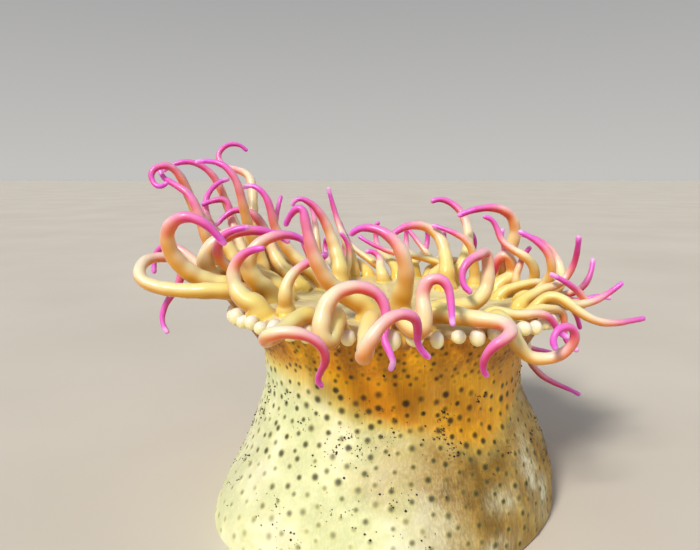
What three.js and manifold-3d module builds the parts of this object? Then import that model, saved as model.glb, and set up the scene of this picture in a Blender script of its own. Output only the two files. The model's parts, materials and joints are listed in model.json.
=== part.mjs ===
// A sea anemone of the starburst kind, life size, standing on its foot with its tentacles spread.
// Millimetres, +Z up, -Y towards the front. The foot's underside is the plane z = 0.

import * as THREE from 'three';
import { mergeVertices } from 'three/addons/utils/BufferGeometryUtils.js';
import Module from 'manifold-3d';

const wasm = await Module();
wasm.setup();

// ---------------------------------------------------------------- driving dimensions

const CUT = 0.3; // gap left by the thin cuts between pieces
const FOOT_RADIUS = 62;
const WAIST_RADIUS = 49.6;
const COLUMN_CUTS = [4, 22, 40, 57]; // heights where the foot and the column are parted
const FOOT_LOBES = [[13, 218, 34], [6, 275, 30], [2, 350, 30]]; // reach, direction, spread in degrees
const LOBE_HEIGHT = 24; // the lobes die away over this height
const MARGIN_RADIUS = 61.5; // widest ring of the collar, side to side
const MARGIN_HEIGHT = 71.8;
const FRONT_RISE = 3.2; // the margin rides this much higher in front
const LIP_DROP = 0.4; // the lip lies this far below the middle of the beads
const FLARE_POWER = 1.7; // above 1 the collar's side is hollow
const CROWN_SHIFT = 5; // the crown leans this far back from the column
const CROWN_SQUASH = 0.925; // the crown is this much narrower front to back
const CROWN_FLOOR = 67; // underside of the crown and of the oral disc
const CROWN_INNER = 29;
const CROWN_OUTER = 59.2;
const SEAT_RING = 59.9; // inner wall of the collar's lip
const DISC_HEIGHT = 76.3;
const RIM_START = 50; // outside this ring the crown rounds off
const RIM_FALL = 0.04;
const DISH_START = 56; // inside this ring the disc slopes to the mouth
const DISH_SLOPE = 0.07;
const MOUTH_RADIUS = 9;
const BEAD_COUNT = 56;
const BEAD_RADIUS = 2.5;
const BEAD_RING = 62.3;
const TAPER = 1.3; // above 1 a tentacle thins late, near its tip
const SWAY = 0.4; // how far a posed tentacle swings to and from the front, as a share of its run
const SWAY_TURN = 4.5; // radians of swing from root to tip
const BACK_LEAN = 0.35; // how far the ones at the back lean away, as a share of their run
const SECTORS = 12;
const SECTOR_START = -3.75; // degrees
const SEGMENTS = 28; // round the column
const DISC_SEGMENTS = 20; // round the oral disc

// ---------------------------------------------------------------- small helpers

const radians = (degrees) => (degrees * Math.PI) / 180;
const clamp = (value, low, high) => Math.min(Math.max(value, low), high);
const mix = (a, b, t) => a + (b - a) * t;
const smooth = (t) => clamp(t, 0, 1) ** 2 * (3 - 2 * clamp(t, 0, 1));
const bump = (angle, middle, width) => Math.exp(-(((((angle - middle + 540) % 360) - 180) / width) ** 2));

// Value of a curve given by [place, value] knots, straight between them.
function follow(knots, place) {
  if (place <= knots[0][0]) return knots[0][1];
  for (let i = 1; i < knots.length; i++) {
    if (place <= knots[i][0]) {
      const t = (place - knots[i - 1][0]) / (knots[i][0] - knots[i - 1][0]);
      return mix(knots[i - 1][1], knots[i][1], t);
    }
  }
  return knots.at(-1)[1];
}

function closedGeometry(points, faces) {
  const geometry = new THREE.BufferGeometry();
  geometry.setAttribute('position', new THREE.Float32BufferAttribute(points.flat(), 3));
  geometry.setIndex(faces.flat());
  return geometry;
}

// A closed skin over rings of points, each ring the same count, with a fan at both ends.
function skinRings(rings, startPoint, endPoint) {
  const count = rings[0].length;
  const points = [...rings.flat(), startPoint, endPoint];
  const start = points.length - 2;
  const end = points.length - 1;
  const faces = [];
  for (let row = 0; row + 1 < rings.length; row++) {
    for (let i = 0; i < count; i++) {
      const j = (i + 1) % count;
      const a = row * count;
      const b = a + count;
      faces.push([a + i, a + j, b + j], [a + i, b + j, b + i]);
    }
  }
  for (let i = 0; i < count; i++) {
    const j = (i + 1) % count;
    const last = (rings.length - 1) * count;
    faces.push([start, j, i], [end, last + i, last + j]);
  }
  return closedGeometry(points, faces);
}

function toSolid(geometry) {
  const bare = geometry.index ? geometry.clone() : mergeVertices(geometry);
  bare.deleteAttribute('normal');
  bare.deleteAttribute('uv');
  const merged = mergeVertices(bare, 1e-4);
  return new wasm.Manifold(new wasm.Mesh({
    numProp: 3,
    vertProperties: new Float32Array(merged.attributes.position.array),
    triVerts: new Uint32Array(merged.index.array),
  }));
}

function fromSolid(solid) {
  const mesh = solid.getMesh();
  const geometry = new THREE.BufferGeometry();
  geometry.setAttribute('position', new THREE.BufferAttribute(new Float32Array(mesh.vertProperties), 3));
  geometry.setIndex(new THREE.BufferAttribute(new Uint32Array(mesh.triVerts), 1));
  geometry.computeVertexNormals();
  return geometry;
}

// ---------------------------------------------------------------- the body's outline

const SIDE = [
  [0, FOOT_RADIUS],
  [11, FOOT_RADIUS],
  [22, 59.5],
  [33, 55.5],
  [41, 51.5],
  [47, WAIST_RADIUS],
  [57, 49.9],
];

// The foot spreads into a lobe at the front left and lower ones in front and at the right.
function footLobe(angle, height) {
  const lobes = FOOT_LOBES.map(([reach, middle, spread]) => reach * bump(angle, middle, spread))
    .reduce((sum, lobe) => sum + lobe, 0);
  return lobes * Math.exp(-((height / LOBE_HEIGHT) ** 2));
}

function sidePoint(angle, height) {
  const radius = follow(SIDE, height) + footLobe(angle, height);
  const a = radians(angle);
  return [radius * Math.cos(a), radius * Math.sin(a), height];
}

const crownPoint = (angle, ring, height) => [
  ring * Math.cos(radians(angle)),
  CROWN_SHIFT + CROWN_SQUASH * ring * Math.sin(radians(angle)),
  height,
];

const beadHeight = (angle) => MARGIN_HEIGHT + FRONT_RISE * Math.max(0, -Math.sin(radians(angle)));
const lipHeight = (angle) => beadHeight(angle) - LIP_DROP;

// Upper surface of the crown, rounded off towards the margin and dished towards the mouth.
function discHeight(ring) {
  const rim = RIM_FALL * Math.max(0, ring - RIM_START) ** 2;
  const dish = DISH_SLOPE * Math.max(0, DISH_START - ring);
  return DISC_HEIGHT - rim - dish;
}

const ringOf = (place, count = SEGMENTS) => Array.from({ length: count }, (_, i) => place((i * 360) / count));

function columnLength(low, high, heights) {
  const rings = [low, ...heights, high].map((z) => ringOf((angle) => sidePoint(angle, z)));
  return skinRings(rings, [0, 0, low], [0, 0, high]);
}

// The collar flares from the column to the lip that carries the beads.
function collarBody(low) {
  const flare = (u) => ringOf((angle) => {
    const start = sidePoint(angle, low);
    const end = crownPoint(angle, MARGIN_RADIUS, lipHeight(angle));
    const out = u ** FLARE_POWER;
    return [mix(start[0], end[0], out), mix(start[1], end[1], out), mix(low, end[2], u)];
  });
  const lip = ringOf((angle) => crownPoint(angle, SEAT_RING, lipHeight(angle)));
  const seat = ringOf((angle) => crownPoint(angle, SEAT_RING, CROWN_FLOOR - CUT));
  const rings = [flare(0), flare(0.4), flare(0.75), flare(1), lip, seat];
  return skinRings(rings, [0, 0, low], [0, CROWN_SHIFT, CROWN_FLOOR - CUT]);
}

function collarWithBeads(low, tentacles) {
  let solid = toSolid(collarBody(low));
  for (let i = 0; i < BEAD_COUNT; i++) {
    const angle = ((i + 0.5) * 360) / BEAD_COUNT;
    const bead = new THREE.OctahedronGeometry(BEAD_RADIUS * (1 + 0.08 * Math.sin(5.1 * i)), 0);
    bead.rotateZ(radians(angle));
    bead.translate(...crownPoint(angle, BEAD_RING, beadHeight(angle)));
    solid = solid.add(toSolid(bead));
  }
  return fromSolid(trimmed(solid, tentacles));
}

// ---------------------------------------------------------------- where tentacles grow

const RINGS = {
  A: { count: 48, ring: 56, offset: 0 },
  B: { count: 24, ring: 49.5, offset: 7.5 },
  C: { count: 12, ring: 42.5, offset: 1.5 },
  D: { count: 12, ring: 36, offset: 15 },
};
const ROOT_DEPTH = 2;

function rootOf(place) {
  const { count, ring, offset } = RINGS[place[0]];
  const angle = (Number(place.slice(1)) * 360) / count + offset;
  return { angle, point: crownPoint(angle, ring, discHeight(ring) - ROOT_DEPTH) };
}

// Each row poses one tentacle: its root, length, thickness at root and tip, and its turns from
// root to tip. A turn is a heading seen from the front (0 right, 90 up) and a lean to the front.
const POSES = [
  // left
  ['A26', 98, [6.8, 1.8], [
    [95, 10], [125, 18], [170, 22], [180, 22], [180, 20], [177, 18], [172, 12], [158, 8], [95, -40],
    [12, -35], [-15, -15], [-85, -10], [-118, 0], [-125, 0], [-95, 0], [-45, 0],
  ]],
  ['A25', 71, [8.6, 2.3], [
    [160, 5], [142, 8], [146, 10], [140, 10], [132, 5], [112, 0], [85, -5], [35, -5], [-15, 0], [-45, 0],
    [-57, 0],
  ]],
  ['A24', 62, [9, 2.2], [
    [158, 0], [150, 5], [123, 10], [98, 10], [55, 5], [28, 0], [-2, 0], [-15, 0], [-40, 0],
  ]],
  ['A23', 83, [7, 1.7], [
    [130, -5], [128, -5], [126, 0], [126, 0], [127, 0], [127, 0], [117, 0], [108, 0], [104, 0], [125, 0],
    [200, 0], [300, 0], [400, 0],
  ]],
  ['A22', 71, [6.6, 1.8], [
    [152, -5], [146, -5], [127, 0], [116, 0], [112, 0], [112, 0], [106, 0], [118, 0], [150, 0], [155, 0],
    [100, 0],
  ]],
  ['B11', 64, [6.2, 2], [
    [150, -5], [156, -3], [157, 0], [157, 0], [155, 0], [150, 0], [150, 0], [180, 0], [250, 0], [275, 0],
  ]],
  ['C6', 54, [6.8, 2], [[153, 0], [152, 0], [150, 0], [147, 0], [122, 0], [65, 0], [25, 0], [5, 0]]],
  ['B12', 48, [7.6, 2.1], [
    [130, 0], [122, 0], [108, 0], [85, 0], [55, 0], [30, 0], [8, 0], [-22, 0], [-50, 0],
  ]],
  ['A28', 36, [7.4, 2], [[138, 5], [132, 8], [122, 5], [100, 0], [62, 0], [28, -5], [5, -5]]],
  // behind, left
  ['A21', 71, [6, 1.8], [
    [110, -10], [108, -8], [106, -5], [104, 0], [98, 0], [98, 0], [103, 0], [130, 0], [170, 0], [190, 0],
  ]],
  ['A20', 88, [6, 1.7], [
    [118, -10], [114, -8], [110, -5], [108, 0], [104, 0], [98, 0], [95, 0], [95, 0], [110, 0], [160, 0],
    [172, 0], [130, 0], [50, 0], [0, 0], [-50, 0],
  ]],
  ['A19', 87, [6, 1.8], [
    [140, -12], [136, -10], [134, -5], [130, 0], [124, 0], [112, 0], [108, 0], [118, 0], [150, 0],
    [190, 0], [220, 0],
  ]],
  ['B9', 72, [5.6, 1.9], [
    [143, -8], [144, -5], [144, 0], [144, 0], [144, 0], [138, 0], [110, 0], [60, 0], [15, 0],
  ]],
  ['B10', 58, [6.4, 2], [
    [150, 0], [147, 0], [134, 0], [125, 0], [120, 0], [115, 0], [108, 0], [95, 0], [190, 0], [205, 0],
  ]],
  ['D4', 63, [6.8, 1.8], [
    [137, 0], [137, 0], [137, 0], [137, 0], [130, 0], [108, 0], [95, 0], [105, 0], [140, 0], [200, 0],
  ]],
  ['A17', 48, [5.2, 1.8], [[148, 0], [142, 0], [125, 0], [98, 0], [82, 0], [75, 0]]],
  // left of the middle
  ['C5', 58, [6.6, 1.9], [
    [160, 0], [135, 0], [122, 0], [116, 0], [112, 0], [112, 0], [125, 0], [165, 0], [215, 0], [230, 0],
  ]],
  ['D8', 57, [7.4, 1.8], [
    [100, 10], [128, 0], [146, 0], [140, -5], [130, -8], [118, -10], [110, -10], [106, -8], [102, -5],
    [100, 0], [225, 0], [250, 0],
  ]],
  ['B14', 30, [5.2, 2.3], [[88, 10], [92, 10], [86, 5], [60, 0], [35, 0], [20, 0], [30, 0]]],
  ['C4', 51, [7.2, 1.7], [
    [70, 0], [92, 0], [104, 0], [108, 0], [110, 0], [118, 0], [130, 0], [158, 0], [245, 0],
  ]],
  ['A16', 40, [4.6, 1.7], [[110, 0], [105, 0], [98, 0], [94, 0], [98, 0], [105, 0], [135, 0]]],
  ['A14', 46, [4.6, 1.9], [[85, 0], [100, 0], [115, 0], [113, 0], [108, 0], [106, 0], [104, 0]]],
  ['B8', 24, [4.6, 2.2], [[105, 0], [110, 0], [115, 0], [112, 0]]],
  ['A12', 36, [4, 1.7], [[100, -10], [138, 0], [150, 0], [120, 0], [110, 0]]],
  ['B7', 24, [3.8, 1.7], [[80, 0], [78, 0], [85, 0], [110, 0], [130, 0]]],
  // front
  ['A32', 58, [6, 1.6], [
    [90, 20], [140, 40], [178, 46], [184, 50], [186, 50], [182, 52], [150, 60], [60, 35], [22, 5],
    [2, 0], [-12, 0], [-30, 0], [-56, 0], [-84, 0], [-115, 0], [-110, 0], [-50, 0],
  ]],
  ['A33', 69, [7, 1.6], [
    [90, 40], [60, 70], [-90, 75], [-95, 60], [-150, 65], [125, 45], [105, 15], [88, 5], [82, 5],
    [72, 5], [50, 5], [26, 5], [5, 5], [-18, 5], [-42, 5], [-68, 5], [-90, 5], [-98, 5], [-94, 0],
    [-58, 0], [-62, 0], [-125, 0],
  ]],
  ['C8', 20, [3.2, 1.6], [[100, -5], [130, 0], [180, 5], [-95, 15], [-62, 10], [-58, 0]]],
  ['A35', 61, [6.2, 1.6], [
    [90, 30], [145, 65], [200, 72], [218, 76], [210, 78], [195, 78], [100, 55], [72, 20], [58, 0],
    [45, 0], [20, 0], [-20, 0], [-75, -5], [-92, -5], [-62, 0], [-40, 0],
  ]],
  ['A36', 50, [6.8, 1.6], [
    [85, 45], [20, 75], [-30, 70], [20, 60], [70, 40], [88, 15], [95, 0], [92, -5], [80, -5], [56, 0],
    [2, 0], [-60, 0], [-86, 3], [-88, 3], [-85, 0],
  ]],
  ['B18', 50, [7.2, 1.6], [
    [80, 10], [45, 18], [15, 18], [3, 15], [4, 12], [3, 12], [2, 12], [-30, 60], [205, 40], [214, 0],
    [238, 0], [268, 0], [-50, 0],
  ]],
  ['B20', 31, [4.2, 1.8], [[60, 10], [5, 15], [-8, 15], [-12, 10], [-28, 5], [-38, 0], [-15, 0]]],
  ['A40', 50, [5.2, 1.8], [
    [60, 45], [-30, 65], [-48, 50], [-38, 35], [-16, 20], [2, 12], [14, 5], [38, 0], [64, -5], [110, -5],
    [175, 0], [235, 0], [300, 0],
  ]],
  // right of the middle
  ['C9', 47, [7.4, 1.8], [
    [110, 5], [92, 0], [80, 0], [80, 0], [94, 0], [110, 0], [130, 0], [155, 0], [182, 0], [225, 0],
  ]],
  ['C3', 19, [4.8, 1.9], [[105, 0], [95, 0], [90, 0], [130, 0], [190, 0]]],
  ['A7', 53, [4, 1.7], [
    [110, -20], [145, -20], [155, -10], [162, 0], [172, 0], [165, 0], [155, 0], [145, 0],
  ]],
  ['A8', 33, [3.8, 1.7], [[110, -20], [120, -10], [128, 0], [125, 0], [140, 0]]],
  ['D1', 51, [6.8, 2.5], [
    [84, 0], [87, 0], [90, 0], [94, 0], [102, 0], [124, 0], [156, 0], [180, 0], [196, 0], [214, 0],
    [232, 0],
  ]],
  ['B2', 38, [4.6, 1.7], [[95, 0], [92, 0], [98, 0], [115, 0], [150, 0], [165, 0], [170, 0]]],
  ['B3', 50, [6.2, 2.2], [
    [60, 0], [60, 0], [66, 0], [76, 0], [90, 0], [108, 0], [135, 0], [160, 0], [205, 0],
  ]],
  ['A5', 62, [7.2, 2.2], [
    [54, 0], [57, 0], [54, 0], [62, 0], [82, 0], [112, 0], [155, 0], [180, 0], [195, 0], [205, 0],
  ]],
  ['A3', 28, [4.4, 1.8], [[100, 0], [92, 0], [88, 0], [92, 0], [100, 0], [110, 0], [60, 0]]],
  ['D9', 60, [6.8, 1.8], [
    [50, 10], [20, 12], [16, 12], [16, 10], [25, 6], [52, 3], [78, 0], [90, 0], [97, 0], [200, 50],
    [195, 25], [235, 0], [275, 0], [-35, 0],
  ]],
  ['B1', 42, [6, 1.8], [
    [10, 0], [35, 0], [80, 0], [100, 0], [120, 0], [240, -30], [268, -10], [270, 0], [270, 0], [270, 0],
  ]],
  // right
  ['A1', 44, [4.8, 1.8], [
    [42, 0], [62, 0], [88, 0], [110, 0], [138, 0], [152, 0], [140, 0], [105, 0], [120, 0], [172, 0],
  ]],
  ['A2', 23, [3.8, 1.7], [[110, 0], [95, 0], [62, 0], [52, 0]]],
  ['A47', 37, [4.6, 1.8], [[40, -10], [68, -10], [90, 0], [112, 0], [142, 0], [155, 0]]],
  ['A0', 42, [5.2, 1.8], [[25, -10], [30, -10], [58, 0], [98, 0], [130, 0], [155, 0], [165, 0]]],
  ['A46', 38, [4.2, 1.7], [[12, 0], [12, 0], [8, 0], [5, -10], [130, -20], [142, 0], [150, 0], [155, 0]]],
  ['B23', 33, [4, 1.6], [[20, 0], [8, 0], [4, 0], [-8, 0], [-42, 0], [-62, 0], [-70, 0]]],
  ['B22', 41, [4.2, 1.8], [[28, -20], [20, -20], [24, 0], [42, 0], [68, 0], [90, 0], [100, 0]]],
  ['B0', 41, [4.2, 1.8], [[10, 0], [-3, 0], [5, 0], [30, 0], [62, 0], [82, 0]]],
  ['A45', 36, [4.4, 1.7], [[40, 10], [10, 10], [5, 0], [10, 0], [30, 0], [45, 0]]],
  ['C0', 44, [4.2, 1.7], [[30, -10], [5, 0], [-8, 0], [-5, 0], [5, 0], [25, 0], [-20, 0]]],
  ['A44', 43, [4.2, 1.7], [[60, 0], [20, 5], [-22, 8], [-18, 5], [-4, 0], [2, 0], [5, 0]]],
  ['A43', 30, [3.6, 1.7], [[70, 0], [-10, -20], [-50, -10], [-60, 0], [-25, 0]]],
  // hanging behind, right
  ['A4', 76, [4.6, 1.7], [
    [60, -20], [-10, -25], [-60, 0], [-92, 20], [-94, 18], [-90, 12], [-50, 8], [-28, 0], [-25, 0],
    [-35, 0],
  ]],
  ['A6', 82, [4.6, 1.8], [
    [60, -25], [0, -25], [-40, 0], [-78, 20], [-85, 18], [-65, 10], [-28, 0], [-15, 0], [-30, 0],
  ]],
];

// The back tentacles that no row poses arch outwards from the disc and curl up at the tip.
const BACK_ROOTS = ['A9', 'A10', 'A11', 'A13', 'A15', 'A18', 'B5', 'C2'];
const BACK_RISE = [62, 38, 20, 14, 6, 18, 50, 95, 150];

const heading = ([turn, lean]) => new THREE.Vector3(
  Math.cos(radians(lean)) * Math.cos(radians(turn)),
  -Math.sin(radians(lean)),
  Math.cos(radians(lean)) * Math.sin(radians(turn)),
);

function backHeadings(angle, index) {
  const out = radians(angle + 25 * Math.sin(2.4 * index));
  return BACK_RISE.map((rise) => new THREE.Vector3(
    Math.cos(radians(rise)) * Math.cos(out),
    Math.cos(radians(rise)) * Math.sin(out),
    Math.sin(radians(rise)),
  ));
}

// ---------------------------------------------------------------- centre lines

const STEPS = 36;

function centreLine(start, length, headings, swing) {
  const points = [new THREE.Vector3(...start)];
  const legs = headings.length - 1;
  for (let i = 0; i < STEPS; i++) {
    const place = ((i + 0.5) / STEPS) * legs;
    const leg = Math.min(Math.floor(place), legs - 1);
    const along = headings[leg].clone().lerp(headings[leg + 1], place - leg).normalize();
    along.y += swing((i + 0.5) / STEPS);
    points.push(points[i].clone().addScaledVector(along, length / STEPS));
  }
  return points;
}

const backLean = (root) => BACK_LEAN * Math.max(0, Math.sin(radians(rootOf(root).angle)));

function growTentacles() {
  const posed = POSES.map(([root, length, thick, turns], i) => ({
    root,
    length,
    thick,
    headings: turns.map(heading),
    swing: (t) => smooth(3 * t) * (SWAY * Math.sin(2.4 * i + SWAY_TURN * t) + backLean(root)),
  }));
  const back = BACK_ROOTS.map((root, i) => ({
    root,
    length: 42 + 6 * Math.sin(1.3 * i),
    thick: [5, 1.9],
    headings: backHeadings(rootOf(root).angle, i),
    swing: () => 0,
  }));
  return [...posed, ...back].map((tentacle) => {
    const { angle, point } = rootOf(tentacle.root);
    const line = centreLine(point, tentacle.length, tentacle.headings, tentacle.swing);
    const radii = line.map((_, i) => mix(tentacle.thick[0], tentacle.thick[1], (i / STEPS) ** TAPER) / 2);
    return { ...tentacle, angle, line, radii };
  });
}

// ---------------------------------------------------------------- settling

// The posed tentacles are eased apart until none touches another, the disc, a bead or the side.
const CLEARANCE = 1;
const SETTLE_ROUNDS = 120;
const REFRESH = 10; // rounds between searches for near pairs
const NEAR = 3; // how much further than touching still counts as near
const PINNED = 5; // steps over which a tentacle becomes free of its root
const SAME_APART = 9; // steps along one tentacle that can't touch each other
const FLARE_WALL = [[57, 50], [62, 51.5], [68, 55], [75.5, 62]]; // the collar's side, as height and radius

function nearPairs(nodes) {
  const pairs = [];
  for (let i = 0; i < nodes.length; i++) {
    const a = nodes[i];
    for (let j = i + 1; j < nodes.length; j++) {
      const b = nodes[j];
      if (a.owner === b.owner && b.step - a.step <= SAME_APART) continue;
      const reach = a.radius + b.radius + CLEARANCE + NEAR;
      if (Math.abs(a.at.x - b.at.x) > reach || Math.abs(a.at.z - b.at.z) > reach) continue;
      if (a.at.distanceToSquared(b.at) < reach * reach) pairs.push([a, b]);
    }
  }
  return pairs;
}

function pushApart([a, b]) {
  const away = b.at.clone().sub(a.at);
  const gap = Math.max(away.length(), 1e-9);
  const short = a.radius + b.radius + CLEARANCE - gap;
  if (short <= 0) return;
  away.multiplyScalar(short / gap / (a.free + b.free + 1e-6));
  a.push.addScaledVector(away, -a.free);
  b.push.addScaledVector(away, b.free);
  a.touches += 1;
  b.touches += 1;
}

// Lifts a step off the disc and the beads, and holds a hanging one off the side.
function clearBody(node) {
  const across = node.at.x;
  const back = (node.at.y - CROWN_SHIFT) / CROWN_SQUASH;
  const ring = Math.hypot(across, back);
  const angle = (Math.atan2(back, across) * 180) / Math.PI;
  const sunk = discHeight(ring) + node.radius + CUT - node.at.z;
  if (ring < CROWN_OUTER + 0.5 && node.at.z > 60) node.push.z += clamp(sunk, 0, 1.5) * node.free;
  const out = ring - BEAD_RING;
  const above = node.at.z - beadHeight(angle);
  const near = clamp(BEAD_RADIUS + node.radius + 0.5 - Math.hypot(out, above), 0, 1.2);
  let sideways = 0;
  if (node.free > 0.1) {
    if (above > -1) node.push.z += near;
    if (above <= -1) sideways += near;
    else if (out > 2) sideways += near * 0.5;
  }
  const radial = Math.hypot(across, node.at.y);
  if (above < -1.5 && node.free > 0.5) {
    const wall = node.at.z > FLARE_WALL[0][0] ? follow(FLARE_WALL, node.at.z)
      : follow(SIDE, node.at.z) + 4 * smooth((20 - node.at.z) / 20);
    sideways += clamp(wall + node.radius + 0.8 - radial, 0, 1.2);
  }
  node.push.x += (sideways * across) / radial;
  node.push.y += (sideways * node.at.y) / radial;
}

function eased(vectors, weight) {
  const side = (1 - weight) / 2;
  return vectors.map((v, i) => {
    if (i === 0) return v.clone();
    if (i === vectors.length - 1) return v.clone().lerp(vectors[i - 1], Math.min(2 * side, 0.5));
    const sides = vectors[i - 1].clone().add(vectors[i + 1]).multiplyScalar(side);
    return sides.addScaledVector(v, weight);
  });
}

function settle(tentacles) {
  const chains = tentacles.map((tentacle, owner) => tentacle.line.map((at, step) => ({
    owner,
    step,
    at: at.clone(),
    rest: at.clone(),
    radius: tentacle.radii[step],
    free: clamp((step - 1) / PINNED, 0, 1),
    push: new THREE.Vector3(),
    touches: 0,
  })));
  const nodes = chains.flat();
  let pairs = [];
  for (let round = 0; round < SETTLE_ROUNDS; round++) {
    if (round % REFRESH === 0) pairs = nearPairs(nodes);
    for (const node of nodes) {
      node.push.set(0, 0, 0);
      node.touches = 0;
    }
    pairs.forEach(pushApart);
    for (const node of nodes) node.push.divideScalar(Math.sqrt(Math.max(node.touches, 1)));
    nodes.forEach(clearBody);
    for (const chain of chains) {
      let pushes = chain.map((node) => node.push);
      for (let i = 0; i < 3; i++) pushes = eased(pushes, 0.5);
      const moved = chain.map((node, i) => {
        const push = pushes[i].clampScalar(-0.8, 0.8);
        return node.at.clone().sub(node.rest).addScaledVector(push, 1.3);
      });
      eased(moved, 0.7).forEach((shift, i) => {
        if (i > 0) chain[i].at.copy(chain[i].rest).add(shift);
      });
    }
  }
  return tentacles.map((tentacle, owner) => ({ ...tentacle, line: chains[owner].map((node) => node.at) }));
}

// ---------------------------------------------------------------- tentacle solids

const SIDES = 5;
const FACET_SWELL = 1.07; // gives a faceted tube the volume of a round one
const RING_SPACING = 19.5;
const BEND_SHARE = 12; // a bend of one radian gets as many rings as this much straight run

// The steps of a centre line that get a ring, closer together in the bends.
function ringSteps(line, from, to) {
  const weights = [0];
  for (let i = from + 1; i <= to; i++) {
    const before = line[i].clone().sub(line[i - 1]);
    const after = line[Math.min(i + 1, line.length - 1)].clone().sub(line[i]);
    const bend = after.lengthSq() > 0 ? before.angleTo(after) : 0;
    weights.push(weights.at(-1) + before.length() + BEND_SHARE * bend);
  }
  const count = Math.max(2, Math.round(weights.at(-1) / RING_SPACING));
  const steps = [];
  for (let k = 0; k <= count; k++) {
    const target = (weights.at(-1) * k) / count;
    const index = weights.findIndex((weight) => weight >= target - 1e-6);
    const step = from + (index < 0 ? weights.length - 1 : index);
    if (step !== steps.at(-1)) steps.push(step);
  }
  return steps;
}

// A closed tube along part of a centre line. Its rings keep one roll from root to tip.
function tentacleTube(tentacle, from, to, startTrim, swell = 0) {
  const { line, radii } = tentacle;
  const steps = ringSteps(line, from, to);
  const tangents = steps.map((step) => {
    const next = line[Math.min(step + 1, line.length - 1)];
    return next.clone().sub(line[Math.max(step - 1, 0)]).normalize();
  });
  const side = new THREE.Vector3(1, 0, 0);
  const rings = steps.map((step, row) => {
    side.addScaledVector(tangents[row], -side.dot(tangents[row])).normalize();
    const up = tangents[row].clone().cross(side);
    const middle = line[step].clone();
    if (row === 0) middle.addScaledVector(tangents[row], startTrim);
    const radius = radii[step] * FACET_SWELL + swell;
    return Array.from({ length: SIDES }, (_, i) => {
      const turn = (i * 2 * Math.PI) / SIDES;
      return middle.clone()
        .addScaledVector(side, radius * Math.cos(turn))
        .addScaledVector(up, radius * Math.sin(turn))
        .toArray();
    });
  });
  const start = line[steps[0]].clone().addScaledVector(tangents[0], startTrim);
  const reach = to === line.length - 1 ? radii[to] : 0;
  const end = line[to].clone().addScaledVector(tangents.at(-1), reach);
  return skinRings(rings, start.toArray(), end.toArray());
}

const LONG = 50; // tentacles this long are parted in two lengths
const PART_AT = Math.round(STEPS * 0.5);
const isLong = (tentacle) => tentacle.length >= LONG;
const baseEnd = (tentacle) => (isLong(tentacle) ? PART_AT : STEPS);
const tentacleBase = (tentacle, swell) => tentacleTube(tentacle, 0, baseEnd(tentacle), 0, swell);
const tentacleTip = (tentacle, swell) => tentacleTube(tentacle, PART_AT, STEPS, CUT, swell);

// Where a faceted tube still cuts a corner off the solid, the solid gives way by the thin cut.
function trimmed(solid, tentacles) {
  let rest = solid;
  const tubes = [
    ...tentacles.map((tentacle) => tentacleBase(tentacle, CUT / 2)),
    ...tentacles.filter(isLong).map((tentacle) => tentacleTip(tentacle, CUT / 2)),
  ];
  for (const tube of tubes.map(toSolid)) {
    if (rest.intersect(tube).getMesh().triVerts.length > 0) rest = rest.subtract(tube);
  }
  return rest;
}

// ---------------------------------------------------------------- crown and disc

// A slice of the ring that the tentacles grow from.
function crownSlice(from, to) {
  const tops = [CROWN_OUTER, 56.5, 53, 49, 40, CROWN_INNER];
  const slices = [];
  const parts = 3;
  for (let k = 0; k <= parts; k++) {
    const angle = mix(from, to, k / parts);
    const low = [CROWN_INNER, CROWN_OUTER].map((ring) => crownPoint(angle, ring, CROWN_FLOOR));
    const high = tops.map((ring) => crownPoint(angle, ring, discHeight(ring)));
    slices.push([...low, ...high].reverse());
  }
  const middle = (points) => points[0].map((_, axis) => (
    points.reduce((sum, point) => sum + point[axis], 0) / points.length));
  return skinRings(slices, middle(slices[0]), middle(slices.at(-1)));
}

function crownSector(index, tentacles) {
  const span = 360 / SECTORS;
  const from = SECTOR_START + index * span;
  const halfCut = 0.28; // degrees
  const slice = toSolid(crownSlice(from + halfCut, from + span - halfCut));
  const sectorOf = ({ angle }) => Math.floor(((angle - SECTOR_START + 720) % 360) / span);
  let solid = trimmed(slice, tentacles.filter((other) => sectorOf(other) !== index));
  for (const tentacle of tentacles.filter((other) => sectorOf(other) === index)) {
    solid = solid.add(toSolid(tentacleBase(tentacle)));
  }
  return fromSolid(trimmed(solid, tentacles.filter((other) => sectorOf(other) > index)));
}

const discRing = (ring, height) => ringOf((angle) => crownPoint(angle, ring, height), DISC_SEGMENTS);

function oralDisc() {
  const edge = CROWN_INNER - CUT;
  const rings = [discRing(edge, CROWN_FLOOR)];
  for (const ring of [edge, 22, 15, MOUTH_RADIUS + CUT]) rings.push(discRing(ring, discHeight(ring)));
  rings.push(discRing(MOUTH_RADIUS + CUT, CROWN_FLOOR + 2));
  return skinRings(rings, [0, CROWN_SHIFT, CROWN_FLOOR], [0, CROWN_SHIFT, CROWN_FLOOR + 2]);
}

// The lips stand a little above the disc round a closed slit.
function mouth() {
  const floor = CROWN_FLOOR + 2 + CUT;
  const height = discHeight(MOUTH_RADIUS);
  const rings = [discRing(MOUTH_RADIUS, floor), discRing(MOUTH_RADIUS, height)];
  for (const [ring, lift] of [[6, 1.8], [3, 1.6], [1.6, -1.5]]) rings.push(discRing(ring, height + lift));
  return skinRings(rings, [0, CROWN_SHIFT, floor], [0, CROWN_SHIFT, height - 1.5]);
}

// ---------------------------------------------------------------- the parts, named and coloured

const material = (color, roughness) => new THREE.MeshStandardMaterial({ color, roughness, metalness: 0 });
const FLESH = {
  foot: material(0xe9e2bd, 0.45),
  column: material(0xd9b878, 0.45),
  collar: material(0xc8871e, 0.45),
  crown: material(0xf5e2b0, 0.35),
  tip: material(0xee8fb4, 0.35),
  disc: material(0xe6e3c4, 0.4),
};

const anemone = new THREE.Group();

function addPart(name, geometry, flesh) {
  if (!geometry.attributes.normal) geometry.computeVertexNormals();
  const mesh = new THREE.Mesh(geometry, flesh);
  mesh.name = name;
  anemone.add(mesh);
}

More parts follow.
